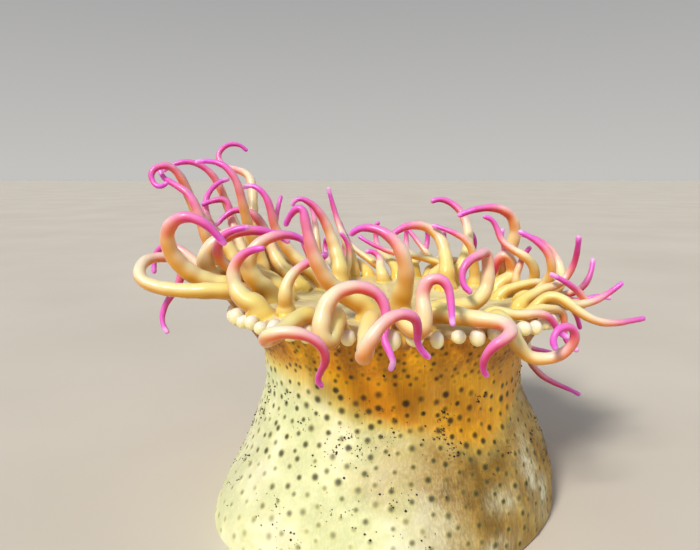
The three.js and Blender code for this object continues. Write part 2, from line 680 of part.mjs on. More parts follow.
const tentacles = settle(growTentacles());
const [footTop, lowerTop, middleTop, upperTop] = COLUMN_CUTS;
addPart('pedal_disc', columnLength(0, footTop, []), FLESH.foot);
addPart('column_lower', columnLength(footTop + CUT, lowerTop, [11]), FLESH.column);
addPart('column_middle', columnLength(lowerTop + CUT, middleTop, [33]), FLESH.column);
addPart('column_upper', columnLength(middleTop + CUT, upperTop, [47]), FLESH.column);
addPart('collar', collarWithBeads(upperTop + CUT, tentacles), FLESH.collar);
addPart('oral_disc', oralDisc(), FLESH.disc);
addPart('mouth', mouth(), FLESH.disc);

for (let i = 0; i < SECTORS; i++) {
  addPart(`crown_${String(i + 1).padStart(2, '0')}`, crownSector(i, tentacles), FLESH.crown);
}
for (const tentacle of tentacles.filter(isLong)) {
  addPart(`tentacle_${tentacle.root}_tip`, tentacleTip(tentacle), FLESH.tip);
}

export default anemone;
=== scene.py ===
"""A sea anemone of the starburst kind, life size, standing on its foot with its tentacles spread.

Shapes are worked out in millimetres and degrees and become metres when a mesh is made.
+Z is up and -Y is the front. One skin, grown from the same dimensions, roots and poses as the
solids, replaces every node of flesh. The sand grains that the column holds are a second piece.
"""

import itertools
import json
import math

import bpy
import numpy as np
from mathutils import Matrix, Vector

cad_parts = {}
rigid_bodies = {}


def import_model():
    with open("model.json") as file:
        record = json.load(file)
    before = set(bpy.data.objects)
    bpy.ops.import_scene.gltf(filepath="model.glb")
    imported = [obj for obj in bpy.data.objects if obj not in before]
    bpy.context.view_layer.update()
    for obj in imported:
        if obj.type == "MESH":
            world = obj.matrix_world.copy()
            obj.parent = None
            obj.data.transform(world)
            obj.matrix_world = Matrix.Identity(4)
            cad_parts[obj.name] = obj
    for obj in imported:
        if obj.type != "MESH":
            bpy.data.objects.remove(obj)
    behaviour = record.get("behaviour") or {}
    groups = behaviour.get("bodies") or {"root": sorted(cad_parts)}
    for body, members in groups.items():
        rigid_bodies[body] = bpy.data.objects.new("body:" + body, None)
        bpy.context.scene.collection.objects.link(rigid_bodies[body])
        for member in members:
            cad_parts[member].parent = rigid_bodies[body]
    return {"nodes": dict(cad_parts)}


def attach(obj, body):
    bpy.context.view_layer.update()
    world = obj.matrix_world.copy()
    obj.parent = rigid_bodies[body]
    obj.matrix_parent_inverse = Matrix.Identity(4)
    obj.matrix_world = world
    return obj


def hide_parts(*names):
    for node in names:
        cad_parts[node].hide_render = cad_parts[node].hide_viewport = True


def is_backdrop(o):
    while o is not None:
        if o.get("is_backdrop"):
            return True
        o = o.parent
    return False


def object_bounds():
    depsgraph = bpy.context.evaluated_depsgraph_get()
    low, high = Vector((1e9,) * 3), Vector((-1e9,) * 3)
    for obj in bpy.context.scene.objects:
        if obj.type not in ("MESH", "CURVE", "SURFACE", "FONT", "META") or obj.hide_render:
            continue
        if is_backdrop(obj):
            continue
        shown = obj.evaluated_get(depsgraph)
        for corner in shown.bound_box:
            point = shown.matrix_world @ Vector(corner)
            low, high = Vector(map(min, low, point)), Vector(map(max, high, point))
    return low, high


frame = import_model()
cad_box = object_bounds()

# ---- dimensions shared with the solids

MM = 0.001
FOOT_RADIUS = 62
WAIST_RADIUS = 49.6
FOOT_LOBES = ((13, 218, 34), (6, 275, 30), (2, 350, 30))  # reach, direction, spread in degrees
LOBE_HEIGHT = 24  # the lobes die away over this height
COLLAR_FOOT = 57  # height where the column opens into the collar
MARGIN_RADIUS = 61.5  # widest ring of the collar, side to side
MARGIN_HEIGHT = 71.8
FRONT_RISE = 3.2  # the margin rides this much higher in front
LIP_DROP = 0.4  # the lip lies this far below the middle of the beads
FLARE_POWER = 1.7  # above 1 the collar's side is hollow
CROWN_SHIFT = 5  # the crown leans this far back from the column
CROWN_SQUASH = 0.925  # the crown is this much narrower front to back
CROWN_OUTER = 59.2
DISC_HEIGHT = 76.3
RIM_START = 50  # outside this ring the crown rounds off
RIM_FALL = 0.04
DISH_START = 56  # inside this ring the disc slopes to the mouth
DISH_SLOPE = 0.07
MOUTH_RADIUS = 9
BEAD_COUNT = 56
BEAD_RADIUS = 2.5
BEAD_RING = 62.3
TAPER = 1.3  # above 1 a tentacle thins late, near its tip
SWAY = 0.4  # how far a posed tentacle swings to and from the front, as a share of its run
SWAY_TURN = 4.5  # radians of swing from root to tip
BACK_LEAN = 0.35  # how far the ones at the back lean away, as a share of their run
ROOT_DEPTH = 2  # a tentacle starts this far under the disc's top
STEPS = 36  # steps of a tentacle's centre line
CLEARANCE = 1  # gap between two tentacles
GAP = 0.3  # gap between a tentacle and the disc that it passes over

# The column's outline as (height, radius).
SIDE = ((0, FOOT_RADIUS), (11, FOOT_RADIUS), (22, 59.5), (33, 55.5), (41, 51.5),
        (47, WAIST_RADIUS), (COLLAR_FOOT, 49.9))
SIDE_SOFT = 4  # the outline is evened out over this height, up and down

# The four rings that tentacles grow on, as (places, ring, degrees to the first).
RINGS = {"A": (48, 56, 0), "B": (24, 49.5, 7.5), "C": (12, 42.5, 1.5), "D": (12, 36, 15)}

# ---- dimensions of the skin alone

ROUND = 720  # columns of the body's grid
FINE = 0.45  # height of the body's grid cells
EDGE = 1.4  # rounding of the foot's rim
FLANK_HOLLOW = (3.6, 194, 36, 24, 18)  # depth, direction, spread, height and half-height
FLARE_ROWS = 44
CROWN_ROWS = 12
DISC_STEP = 0.5
MOUTH_STEP = 0.4
FOSSE = 0.8  # depth of the groove between the beads and the tentacles
SHOULDER = 0.5  # swell of the crown's edge beside the groove
CROWN_EDGE = 57  # ring where the crown's top begins
LIP_RING = 5  # ring of the lips round the mouth
SLIT_SQUASH = 0.45  # the closed mouth is this much narrower front to back
TUBE_SIDES = 20
TUBE_STEP = 0.8
BEAD_SIDES = 18
BEAD_ROWS = 12
SHEET = 340.0  # side of the texture square, measured on the skin
BODY_SHARE = 0.44  # height of the texture square that the body takes
SEED = 11

rng = np.random.default_rng(SEED)


def smooth(t):
    t = np.clip(t, 0, 1)
    return t * t * (3 - 2 * t)


def mix(a, b, t):
    return a + (b - a) * t


def bell(away, width):
    return np.exp(-((away / width) ** 2))


def bump(angle, middle, width):
    return bell((angle - middle + 540) % 360 - 180, width)


def cos_sin(angle):
    return np.cos(np.radians(angle)), np.sin(np.radians(angle))


def new_mesh(name, verts, faces, materials):
    mesh = bpy.data.meshes.new(name)
    mesh.from_pydata(verts, [], faces)
    for material in materials:
        mesh.materials.append(material)
    return mesh


def placed(name, data):
    """A new object in the scene."""
    thing = bpy.data.objects.new(name, data)
    bpy.context.scene.collection.objects.link(thing)
    return thing


# ---- the body's outline


def follow(knots, place):
    """Value of a curve given by (place, value) knots, straight between them."""
    knots = np.array(knots)
    return np.interp(place, knots[:, 0], knots[:, 1])


def side_radius(height):
    spread = np.linspace(-SIDE_SOFT, SIDE_SOFT, 9)
    return np.mean([follow(SIDE, height + s) for s in spread], axis=0)


def foot_lobe(angle, height):
    """The foot's lobes, and the hollow that the left flank has above them."""
    lobes = sum(reach * bump(angle, middle, spread) for reach, middle, spread in FOOT_LOBES)
    depth, middle, spread, level, tall = FLANK_HOLLOW
    hollow = depth * bump(angle, middle, spread) * bell(height - level, tall)
    return lobes * bell(height, LOBE_HEIGHT) - hollow


def side_point(angle, height, inset=0.0):
    radius = side_radius(height) + foot_lobe(angle, height) - inset
    c, s = cos_sin(angle)
    return np.stack([radius * c, radius * s, height + 0 * angle], -1)


def crown_point(angle, ring, height):
    c, s = cos_sin(angle)
    return np.stack([ring * c, CROWN_SHIFT + CROWN_SQUASH * ring * s, height + 0 * angle], -1)


def bead_height(angle):
    return MARGIN_HEIGHT + FRONT_RISE * np.maximum(0, -cos_sin(angle)[1])


def disc_height(ring):
    rim = RIM_FALL * np.maximum(0, ring - RIM_START) ** 2
    return DISC_HEIGHT - rim - DISH_SLOPE * np.maximum(0, DISH_START - ring)


def mouth_height(ring):
    """Lips that stand up round a closed slit."""
    lips = 1.9 * bell(ring - LIP_RING, 2.6) - 3.2 * bell(ring, 1.7)
    return disc_height(MOUTH_RADIUS) + lips * smooth((MOUTH_RADIUS + 1 - ring) / 3)


def body_rows(angle):
    """The rings of the body's grid, each with the part that it belongs to, from the middle of
    the underside to the middle of the mouth.
    """
    for share in (0.06, 0.3, 0.6, 0.85, 0.96):
        yield "foot", side_point(angle, 0, EDGE) * np.array([share, share, 1])
    for turn in np.radians(np.linspace(0, 90, 5)):
        height, inset = EDGE * (1 - math.cos(turn)), EDGE * (1 - math.sin(turn))
        yield "foot", side_point(angle, height, inset)
    for height in np.arange(EDGE + FINE, COLLAR_FOOT, FINE):
        yield "side", side_point(angle, height)
    start = side_point(angle, COLLAR_FOOT)
    lip_height = bead_height(angle) - LIP_DROP
    margin = crown_point(angle, MARGIN_RADIUS, lip_height)
    for up in np.linspace(0, 1, FLARE_ROWS):
        share = np.array([up ** FLARE_POWER, up ** FLARE_POWER, up])
        yield "flare", mix(start, margin, share)
    for t in np.linspace(0, 1, CROWN_ROWS + 1)[1:]:
        ring = mix(MARGIN_RADIUS, CROWN_EDGE, t)
        height = mix(lip_height, disc_height(ring), smooth(t))
        height = height + SHOULDER * math.sin(math.pi * min(1, 2 * t))
        height = height - FOSSE * math.sin(math.pi * t)
        yield "crown", crown_point(angle, ring, height)
    for ring in np.arange(CROWN_EDGE - DISC_STEP, MOUTH_RADIUS, -DISC_STEP):
        yield "disc", crown_point(angle, ring, disc_height(ring))
    for ring in np.arange(MOUTH_RADIUS, 0.3, -MOUTH_STEP):
        squash = mix(SLIT_SQUASH, 1, smooth(ring / MOUTH_RADIUS))
        lip = crown_point(angle, ring, mouth_height(ring))
        lip[:, 1] = CROWN_SHIFT + (lip[:, 1] - CROWN_SHIFT) * squash
        yield "mouth", lip


# ---- where tentacles grow

# Each row poses one tentacle: its root, its length, its thickness at root and tip, and then its
# turns from root to tip. A turn is a heading seen from the front (0 right, 90 up). Where it also
# leans to the front, it is a pair of the heading and the lean.
POSES = [
    # left
    ("A26", 98, 6.8, 1.8, (95, 10), (125, 18), (170, 22), (180, 22), (180, 20), (177, 18),
     (172, 12), (158, 8), (95, -40), (12, -35), (-15, -15), (-85, -10), -118, -125, -95, -45),
    ("A25", 71, 8.6, 2.3, (160, 5), (142, 8), (146, 10), (140, 10), (132, 5), 112, (85, -5),
     (35, -5), -15, -45, -57),
    ("A24", 62, 9, 2.2, 158, (150, 5), (123, 10), (98, 10), (55, 5), 28, -2, -15, -40),
    ("A23", 83, 7, 1.7, (130, -5), (128, -5), 126, 126, 127, 127, 117, 108, 104, 125, 200, 300,
     400),
    ("A22", 71, 6.6, 1.8, (152, -5), (146, -5), 127, 116, 112, 112, 106, 118, 150, 155, 100),
    ("B11", 64, 6.2, 2, (150, -5), (156, -3), 157, 157, 155, 150, 150, 180, 250, 275),
    ("C6", 54, 6.8, 2, 153, 152, 150, 147, 122, 65, 25, 5),
    ("B12", 48, 7.6, 2.1, 130, 122, 108, 85, 55, 30, 8, -22, -50),
    ("A28", 36, 7.4, 2, (138, 5), (132, 8), (122, 5), 100, 62, (28, -5), (5, -5)),
    # behind, left
    ("A21", 71, 6, 1.8, (110, -10), (108, -8), (106, -5), 104, 98, 98, 103, 130, 170, 190),
    ("A20", 88, 6, 1.7, (118, -10), (114, -8), (110, -5), 108, 104, 98, 95, 95, 110, 160, 172, 130,
     50, 0, -50),
    ("A19", 87, 6, 1.8, (140, -12), (136, -10), (134, -5), 130, 124, 112, 108, 118, 150, 190, 220),
    ("B9", 72, 5.6, 1.9, (143, -8), (144, -5), 144, 144, 144, 138, 110, 60, 15),
    ("B10", 58, 6.4, 2, 150, 147, 134, 125, 120, 115, 108, 95, 190, 205),
    ("D4", 63, 6.8, 1.8, 137, 137, 137, 137, 130, 108, 95, 105, 140, 200),
    ("A17", 48, 5.2, 1.8, 148, 142, 125, 98, 82, 75),
    # left of the middle
    ("C5", 58, 6.6, 1.9, 160, 135, 122, 116, 112, 112, 125, 165, 215, 230),
    ("D8", 57, 7.4, 1.8, (100, 10), 128, 146, (140, -5), (130, -8), (118, -10), (110, -10),
     (106, -8), (102, -5), 100, 225, 250),
    ("B14", 30, 5.2, 2.3, (88, 10), (92, 10), (86, 5), 60, 35, 20, 30),
    ("C4", 51, 7.2, 1.7, 70, 92, 104, 108, 110, 118, 130, 158, 245),
    ("A16", 40, 4.6, 1.7, 110, 105, 98, 94, 98, 105, 135),
    ("A14", 46, 4.6, 1.9, 85, 100, 115, 113, 108, 106, 104),
    ("B8", 24, 4.6, 2.2, 105, 110, 115, 112),
    ("A12", 36, 4, 1.7, (100, -10), 138, 150, 120, 110),
    ("B7", 24, 3.8, 1.7, 80, 78, 85, 110, 130),
    # front
    ("A32", 58, 6, 1.6, (90, 20), (140, 40), (178, 46), (184, 50), (186, 50), (182, 52), (150, 60),
     (60, 35), (22, 5), 2, -12, -30, -56, -84, -115, -110, -50),
    ("A33", 69, 7, 1.6, (90, 40), (60, 70), (-90, 75), (-95, 60), (-150, 65), (125, 45), (105, 15),
     (88, 5), (82, 5), (72, 5), (50, 5), (26, 5), (5, 5), (-18, 5), (-42, 5), (-68, 5), (-90, 5),
     (-98, 5), -94, -58, -62, -125),
    ("C8", 20, 3.2, 1.6, (100, -5), 130, (180, 5), (-95, 15), (-62, 10), -58),
    ("A35", 61, 6.2, 1.6, (90, 30), (145, 65), (200, 72), (218, 76), (210, 78), (195, 78),
     (100, 55), (72, 20), 58, 45, 20, -20, (-75, -5), (-92, -5), -62, -40),
    ("A36", 50, 6.8, 1.6, (85, 45), (20, 75), (-30, 70), (20, 60), (70, 40), (88, 15), 95, (92, -5),
     (80, -5), 56, 2, -60, (-86, 3), (-88, 3), -85),
    ("B18", 50, 7.2, 1.6, (80, 10), (45, 18), (15, 18), (3, 15), (4, 12), (3, 12), (2, 12),
     (-30, 60), (205, 40), 214, 238, 268, -50),
    ("B20", 31, 4.2, 1.8, (60, 10), (5, 15), (-8, 15), (-12, 10), (-28, 5), -38, -15),
    ("A40", 50, 5.2, 1.8, (60, 45), (-30, 65), (-48, 50), (-38, 35), (-16, 20), (2, 12), (14, 5),
     38, (64, -5), (110, -5), 175, 235, 300),
    # right of the middle
    ("C9", 47, 7.4, 1.8, (110, 5), 92, 80, 80, 94, 110, 130, 155, 182, 225),
    ("C3", 19, 4.8, 1.9, 105, 95, 90, 130, 190),
    ("A7", 53, 4, 1.7, (110, -20), (145, -20), (155, -10), 162, 172, 165, 155, 145),
    ("A8", 33, 3.8, 1.7, (110, -20), (120, -10), 128, 125, 140),
    ("D1", 51, 6.8, 2.5, 84, 87, 90, 94, 102, 124, 156, 180, 196, 214, 232),
    ("B2", 38, 4.6, 1.7, 95, 92, 98, 115, 150, 165, 170),
    ("B3", 50, 6.2, 2.2, 60, 60, 66, 76, 90, 108, 135, 160, 205),
    ("A5", 62, 7.2, 2.2, 54, 57, 54, 62, 82, 112, 155, 180, 195, 205),
    ("A3", 28, 4.4, 1.8, 100, 92, 88, 92, 100, 110, 60),
    ("D9", 60, 6.8, 1.8, (50, 10), (20, 12), (16, 12), (16, 10), (25, 6), (52, 3), 78, 90, 97,
     (200, 50), (195, 25), 235, 275, -35),
    ("B1", 42, 6, 1.8, 10, 35, 80, 100, 120, (240, -30), (268, -10), 270, 270, 270),
    # right
    ("A1", 44, 4.8, 1.8, 42, 62, 88, 110, 138, 152, 140, 105, 120, 172),
    ("A2", 23, 3.8, 1.7, 110, 95, 62, 52),
    ("A47", 37, 4.6, 1.8, (40, -10), (68, -10), 90, 112, 142, 155),
    ("A0", 42, 5.2, 1.8, (25, -10), (30, -10), 58, 98, 130, 155, 165),
    ("A46", 38, 4.2, 1.7, 12, 12, 8, (5, -10), (130, -20), 142, 150, 155),
    ("B23", 33, 4, 1.6, 20, 8, 4, -8, -42, -62, -70),
    ("B22", 41, 4.2, 1.8, (28, -20), (20, -20), 24, 42, 68, 90, 100),
    ("B0", 41, 4.2, 1.8, 10, -3, 5, 30, 62, 82),
    ("A45", 36, 4.4, 1.7, (40, 10), (10, 10), 5, 10, 30, 45),
    ("C0", 44, 4.2, 1.7, (30, -10), 5, -8, -5, 5, 25, -20),
    ("A44", 43, 4.2, 1.7, 60, (20, 5), (-22, 8), (-18, 5), -4, 2, 5),
    ("A43", 30, 3.6, 1.7, 70, (-10, -20), (-50, -10), -60, -25),
    # hanging behind, right
    ("A4", 76, 4.6, 1.7, (60, -20), (-10, -25), -60, (-92, 20), (-94, 18), (-90, 12), (-50, 8), -28,
     -25, -35),
    ("A6", 82, 4.6, 1.8, (60, -25), (0, -25), -40, (-78, 20), (-85, 18), (-65, 10), -28, -15, -30),
]

# The back tentacles that no row poses arch outwards from the disc and curl up at the tip.
BACK_ROOTS = ("A9", "A10", "A11", "A13", "A15", "A18", "B5", "C2")
BACK_RISE = (62, 38, 20, 14, 6, 18, 50, 95, 150)
BACK_THICK = (5, 1.9)
BACK_LENGTH = 42


def root_of(place):
    count, ring, offset = RINGS[place[0]]
    angle = int(place[1:]) * 360 / count + offset
    return angle, crown_point(np.array(float(angle)), ring, disc_height(ring) - ROOT_DEPTH)


def heading(turn, lean=0):
    c, s = cos_sin(turn)
    ahead, towards = cos_sin(lean)
    return np.array([ahead * c, -towards, ahead * s])


def back_heading(angle, index, rise):
    c, s = cos_sin(angle + 25 * math.sin(2.4 * index))
    level, up = cos_sin(rise)
    return np.array([level * c, level * s, up])


def swing_of(index, root):
    """The swing of a posed tentacle to and from the front, at each share of its length."""
    back = BACK_LEAN * max(0, math.sin(math.radians(root_of(root)[0])))
    return lambda t: smooth(3 * t) * (SWAY * math.sin(2.4 * index + SWAY_TURN * t) + back)


def centre_line(start, length, headings, swing):
    points = [start]
    legs = len(headings) - 1
    for i in range(STEPS):
        share = (i + 0.5) / STEPS
        place = share * legs
        leg = min(int(place), legs - 1)
        along = mix(headings[leg], headings[leg + 1], place - leg)
        along = along / np.linalg.norm(along) + np.array([0, swing(share), 0])
        points.append(points[-1] + along * length / STEPS)
    return np.array(points)


def grow_tentacles():
    """Each tentacle as (root, length, centre line, radii)."""
    grown = []
    for i, (root, length, thick, thin, *turns) in enumerate(POSES):
        headings = [heading(*np.atleast_1d(turn)) for turn in turns]
        grown.append((root, length, thick, thin, headings, swing_of(i, root)))
    for i, root in enumerate(BACK_ROOTS):
        headings = [back_heading(root_of(root)[0], i, rise) for rise in BACK_RISE]
        length = BACK_LENGTH + 6 * math.sin(1.3 * i)
        grown.append((root, length, *BACK_THICK, headings, lambda t: 0))
    tentacles = []
    for root, length, thick, thin, headings, swing in grown:
        line = centre_line(root_of(root)[1], length, headings, swing)
        radii = mix(thick, thin, np.linspace(0, 1, STEPS + 1) ** TAPER) / 2
        tentacles.append((root, length, line, radii))
    return tentacles


# ---- settling

SETTLE_ROUNDS = 120
REFRESH = 10  # rounds between two searches for near pairs
NEAR = 3  # how much further than touching still counts as near
PINNED = 5  # steps over which a tentacle becomes free of its root
SAME_APART = 9  # steps apart on one tentacle from which it keeps clear of itself
STRENGTH = 1.3  # share of each push that is taken up
LONGEST_MOVE = 0.8
LIFT_LIMIT = 1.5  # longest lift off the disc in one round
SHOVE_LIMIT = 1.2  # longest move off a bead or the side in one round
BEAD_GAP = 0.5
SIDE_GAP = 0.8
OVER_DISC = 60  # only steps higher than this are lifted off the disc
FLARE_WALL = ((57, 50), (62, 51.5), (68, 55), (75.5, 62))  # height and radius of the collar's side
LOW_WALL = (20, 4)  # below this height the side is taken as up to this much wider


def near_pairs(at, radius, owner, step):
    """Pairs of steps that may come to touch, as two lists of indices."""
    gap = np.linalg.norm(at[:, None] - at, axis=2)
    close = gap < radius[:, None] + radius + CLEARANCE + NEAR
    apart = (owner[:, None] != owner) | (step - step[:, None] > SAME_APART)
    return np.nonzero(np.triu(close & apart, 1))


def push_apart(at, radius, free, pairs):
    """The move of each step that would part the pairs that are too close."""
    a, b = pairs
    away = at[b] - at[a]
    gap = np.maximum(np.linalg.norm(away, axis=1), 1e-9)
    short = radius[a] + radius[b] + CLEARANCE - gap
    hit = short > 0
    a, b, away = a[hit], b[hit], away[hit]
    away *= (short[hit] / gap[hit] / (free[a] + free[b] + 1e-6))[:, None]
    push = np.zeros_like(at)
    np.add.at(push, a, -away * free[a, None])
    np.add.at(push, b, away * free[b, None])
    touches = np.bincount(np.concatenate([a, b]), minlength=len(at))
    return push / np.sqrt(np.maximum(touches, 1))[:, None]


def clear_body(at, radius, free, push):
    """Lifts a step off the disc and the beads, and holds a hanging one off the side."""
    x, y, z = at.T
    back = (y - CROWN_SHIFT) / CROWN_SQUASH
    ring = np.hypot(x, back)
    angle = np.degrees(np.arctan2(back, x))
    sunk = disc_height(ring) + radius + GAP - z
    on_disc = (ring < CROWN_OUTER + 0.5) & (z > OVER_DISC)
    push[:, 2] += np.where(on_disc, np.clip(sunk, 0, LIFT_LIMIT) * free, 0)
    out = ring - BEAD_RING
    above = z - bead_height(angle)
    into_bead = BEAD_RADIUS + radius + BEAD_GAP - np.hypot(out, above)
    near = np.clip(into_bead, 0, SHOVE_LIMIT) * (free > 0.1)
    push[:, 2] += np.where(above > -1, near, 0)
    sideways = np.where(above <= -1, near, np.where(out > 2, near * 0.5, 0))
    low_height, low_spread = LOW_WALL
    lower_wall = follow(SIDE, z) + low_spread * smooth((low_height - z) / low_height)
    wall = np.where(z > COLLAR_FOOT, follow(FLARE_WALL, z), lower_wall)
    radial = np.hypot(x, y)
    hanging = (above < -1.5) & (free > 0.5)
    sideways += np.where(hanging, np.clip(wall + radius + SIDE_GAP - radial, 0, SHOVE_LIMIT), 0)
    push[:, 0] += sideways * x / radial
    push[:, 1] += sideways * y / radial


def eased(shifts, weight):
    """Shifts evened out along each tentacle. A lower weight evens out more."""
    side = (1 - weight) / 2
    out = shifts.copy()
    out[:, 1:-1] = weight * shifts[:, 1:-1] + side * (shifts[:, :-2] + shifts[:, 2:])
    end = min(2 * side, 0.5)
    out[:, -1] = mix(shifts[:, -1], shifts[:, -2], end)
    return out


def settle(tentacles):
    """The same easing apart that the solids had, so that the skin lies where they are."""
    rest = np.array([line for _, _, line, _ in tentacles])
    radius = np.array([radii for _, _, _, radii in tentacles]).ravel()
    count, steps, _ = rest.shape
    owner = np.repeat(np.arange(count), steps)
    step = np.tile(np.arange(steps), count)
    free = np.clip((step - 1) / PINNED, 0, 1)
    at = rest.copy()
    for turn in range(SETTLE_ROUNDS):
        flat = at.reshape(-1, 3)
        if turn % REFRESH == 0:
            pairs = near_pairs(flat, radius, owner, step)
        push = push_apart(flat, radius, free, pairs)
        clear_body(flat, radius, free, push)
        push = push.reshape(at.shape)
        for _ in range(3):
            push = eased(push, 0.5)
        moved = at - rest + STRENGTH * np.clip(push, -LONGEST_MOVE, LONGEST_MOVE)
        shift = eased(moved, 0.7)
        shift[:, 0] = 0
        at = rest + shift
    return [(root, length, line, radii) for (root, length, _, radii), line in zip(tentacles, at)]


# ---- meshes

MATERIALS = []
COLUMN, TENTACLE, BEAD, DISC = range(4)
FLOATS = ("spot", "wart_highlight", "amber", "tan", "umber", "chalk", "along", "shade_blush", "tone", "ray")


def grid_object(name, points, sheet, fields, kinds, start, end):
    """A closed mesh over rings of points. sheet is the texture place of each grid corner, and a
    field is a number for each point, for each ring or for the whole.
    """
    rows, cols, _ = points.shape
    verts = np.concatenate([points.reshape(-1, 3), [start], [end]]) * MM
    i = np.arange(cols)
    j = (i + 1) % cols
    starts = np.arange(rows - 1)[:, None] * cols
    quads = np.stack([starts + i, starts + j, starts + cols + j, starts + cols + i], -1)
    first, last = rows * cols, rows * cols + 1
    top = (rows - 1) * cols
    fans = np.concatenate([np.stack([np.full(cols, first), j, i], -1),
                           np.stack([np.full(cols, last), top + i, top + j], -1)])
    mesh = new_mesh(name, verts, quads.reshape(-1, 4).tolist() + fans.tolist(), MATERIALS)
    corner = np.stack([sheet[:-1, :-1], sheet[:-1, 1:], sheet[1:, 1:], sheet[1:, :-1]], 2)
    middle = (sheet[:, :-1] + sheet[:, 1:]) / 2
    fan_low = np.stack([middle[0], sheet[0, 1:], sheet[0, :-1]], 1)
    fan_high = np.stack([middle[-1], sheet[-1, :-1], sheet[-1, 1:]], 1)
    places = np.concatenate([part.reshape(-1, 2) for part in (corner, fan_low, fan_high)])
    layer = mesh.uv_layers.new(name="OFBake")
    layer.data.foreach_set("uv", places.astype(np.float32).ravel())
    for field in FLOATS:
        values = np.broadcast_to(fields.get(field, 0.0), (rows, cols))
        values = np.concatenate([values.ravel(), [values[0].mean(), values[-1].mean()]])
        layer = mesh.attributes.new(field, "FLOAT", "POINT")
        layer.data.foreach_set("value", values.astype(np.float32))
    slots = [np.repeat(kinds[:-1], cols), np.full(cols, kinds[0]), np.full(cols, kinds[-1])]
    mesh.polygons.foreach_set("material_index", np.concatenate(slots).astype(np.int32))
    return bpy.data.objects.new(name, mesh)


def laid_out(place, cols, down):
    """The texture places of a grid of cols columns whose rows lie at the shares in down."""
    x, y, wide, tall = place
    across = x + wide * np.linspace(0, 1, cols + 1)
    return np.stack(np.broadcast_arrays(across[None], (y + tall * down)[:, None]), -1)


def grid_normals(points):
    """The way that the skin faces at each grid point."""
    around = np.roll(points, -1, 1) - np.roll(points, 1, 1)
    along = np.gradient(points, axis=0)
    normal = np.cross(around, along)
    return normal / np.maximum(np.linalg.norm(normal, axis=2), 1e-9)[:, :, None]


# ---- warts and folds

WART_ROWS = 70  # upright rows of warts on the column
WART_STEP = 4  # least climb from one wart to the next
WART_LIFT = 0.42
WART_REACH = 7  # grid cells to each side of a wart that it can raise
KNOB_ROWS = 124  # upright rows of small knobs on the collar
KNOB_STEP = 0.13  # least climb from one knob to the next, as a share of the collar
FOLD_TURNS = 31  # half the number of upright creases round the column


def wart_places():
    """Each wart as (part, angle, height or share of the collar, radius, rise, darkness)."""
    for k in range(WART_ROWS):
        height = 3.5 + 2.3 * (k % 2) + 0.8 * rng.random()
        while height < COLLAR_FOOT - 0.5:
            drift = 0.2 * math.sin(0.15 * height + 0.4 * k) + 0.14 * rng.normal()
            angle = (k + drift) * 360 / WART_ROWS
            size = 0.95 + 0.65 * rng.random() ** 1.2
            faint = mix(0.6, 1, bump(angle, 322, 34))
            dark = mix(0.6, 1, rng.random()) * mix(faint, 1, smooth((height - 8) / 30))
            yield "side", angle, height, size, WART_LIFT, dark
            height += WART_STEP + 1.2 * rng.random()
    for k in range(KNOB_ROWS):
        share = 0.1 + 0.12 * (k % 2) + 0.05 * rng.random()
        while share < 0.97:
            angle = (k + 0.22 * rng.normal()) * 360 / KNOB_ROWS
            lift = mix(0.15, 0.5, smooth((share - 0.1) / 0.4))
            size = mix(0.9, 1.15, rng.random())
            yield "flare", angle, share, size, lift, mix(0.25, 0.8, rng.random())
            share += KNOB_STEP + 0.05 * rng.random()


def add_warts(kinds, points):
    """Rise, darkness and a painted highlight over each dome that the warts add at each grid point.
    """
    rise, spot, wart_highlight = np.zeros((3, *points.shape[:2]))
    side_rows = np.flatnonzero(kinds == "side")
    flare_rows = np.flatnonzero(kinds == "flare")
    around = np.arange(-WART_REACH, WART_REACH + 1)
    for kind, angle, place, size, lift, dark in wart_places():
        if kind == "side":
            row = side_rows[0] + round((place - EDGE - FINE) / FINE)
        else:
            row = flare_rows[0] + round(place * (len(flare_rows) - 1))
        col = round(angle / 360 * ROUND)
        rows = row + around
        rows = rows[(rows >= side_rows[0]) & (rows <= flare_rows[-1])]
        patch = np.ix_(rows, (col + around) % ROUND)
        away = np.linalg.norm(points[patch] - points[row, col % ROUND], axis=2) / size
        dome = np.exp(-(away / 1.25) ** 4)
        pit = bell(away, 0.75)
        rise[patch] = np.maximum(rise[patch], lift * dome) - 0.55 * lift * pit
        spot[patch] = np.maximum(spot[patch], dark * np.exp(-(away / 0.9) ** 2.4))
        # a painted highlight over the wart's dome
        wart_highlight[patch] = np.maximum(wart_highlight[patch], dome)
    return rise, spot, wart_highlight


def folds(angle, height):
    """Soft upright folds, deepest low down on the right, and slow swells all round."""
    swell = 0.5 * np.sin(np.radians(3 * angle) + 0.06 * height)
    swell = swell + 0.35 * np.sin(np.radians(7 * angle + 40))
    low = smooth((46 - height) / 30)
    deep = mix(0.14, 0.75, bump(angle, 345, 38)) * low
    wander = 0.5 * np.sin(0.12 * height + angle / 9)
    crease = np.abs(np.sin(np.radians(FOLD_TURNS * angle) + wander)) - 0.6
    return swell * low + deep * crease


# ---- the body

RAYS = 48  # fine rays on the oral disc
LIPS = 24  # ribs of the lips round the mouth
FLAT_ROWS = 6  # rows of the underside that lie on the floor
UNDER_SHARE = 0.01  # height of the texture square that the underside takes


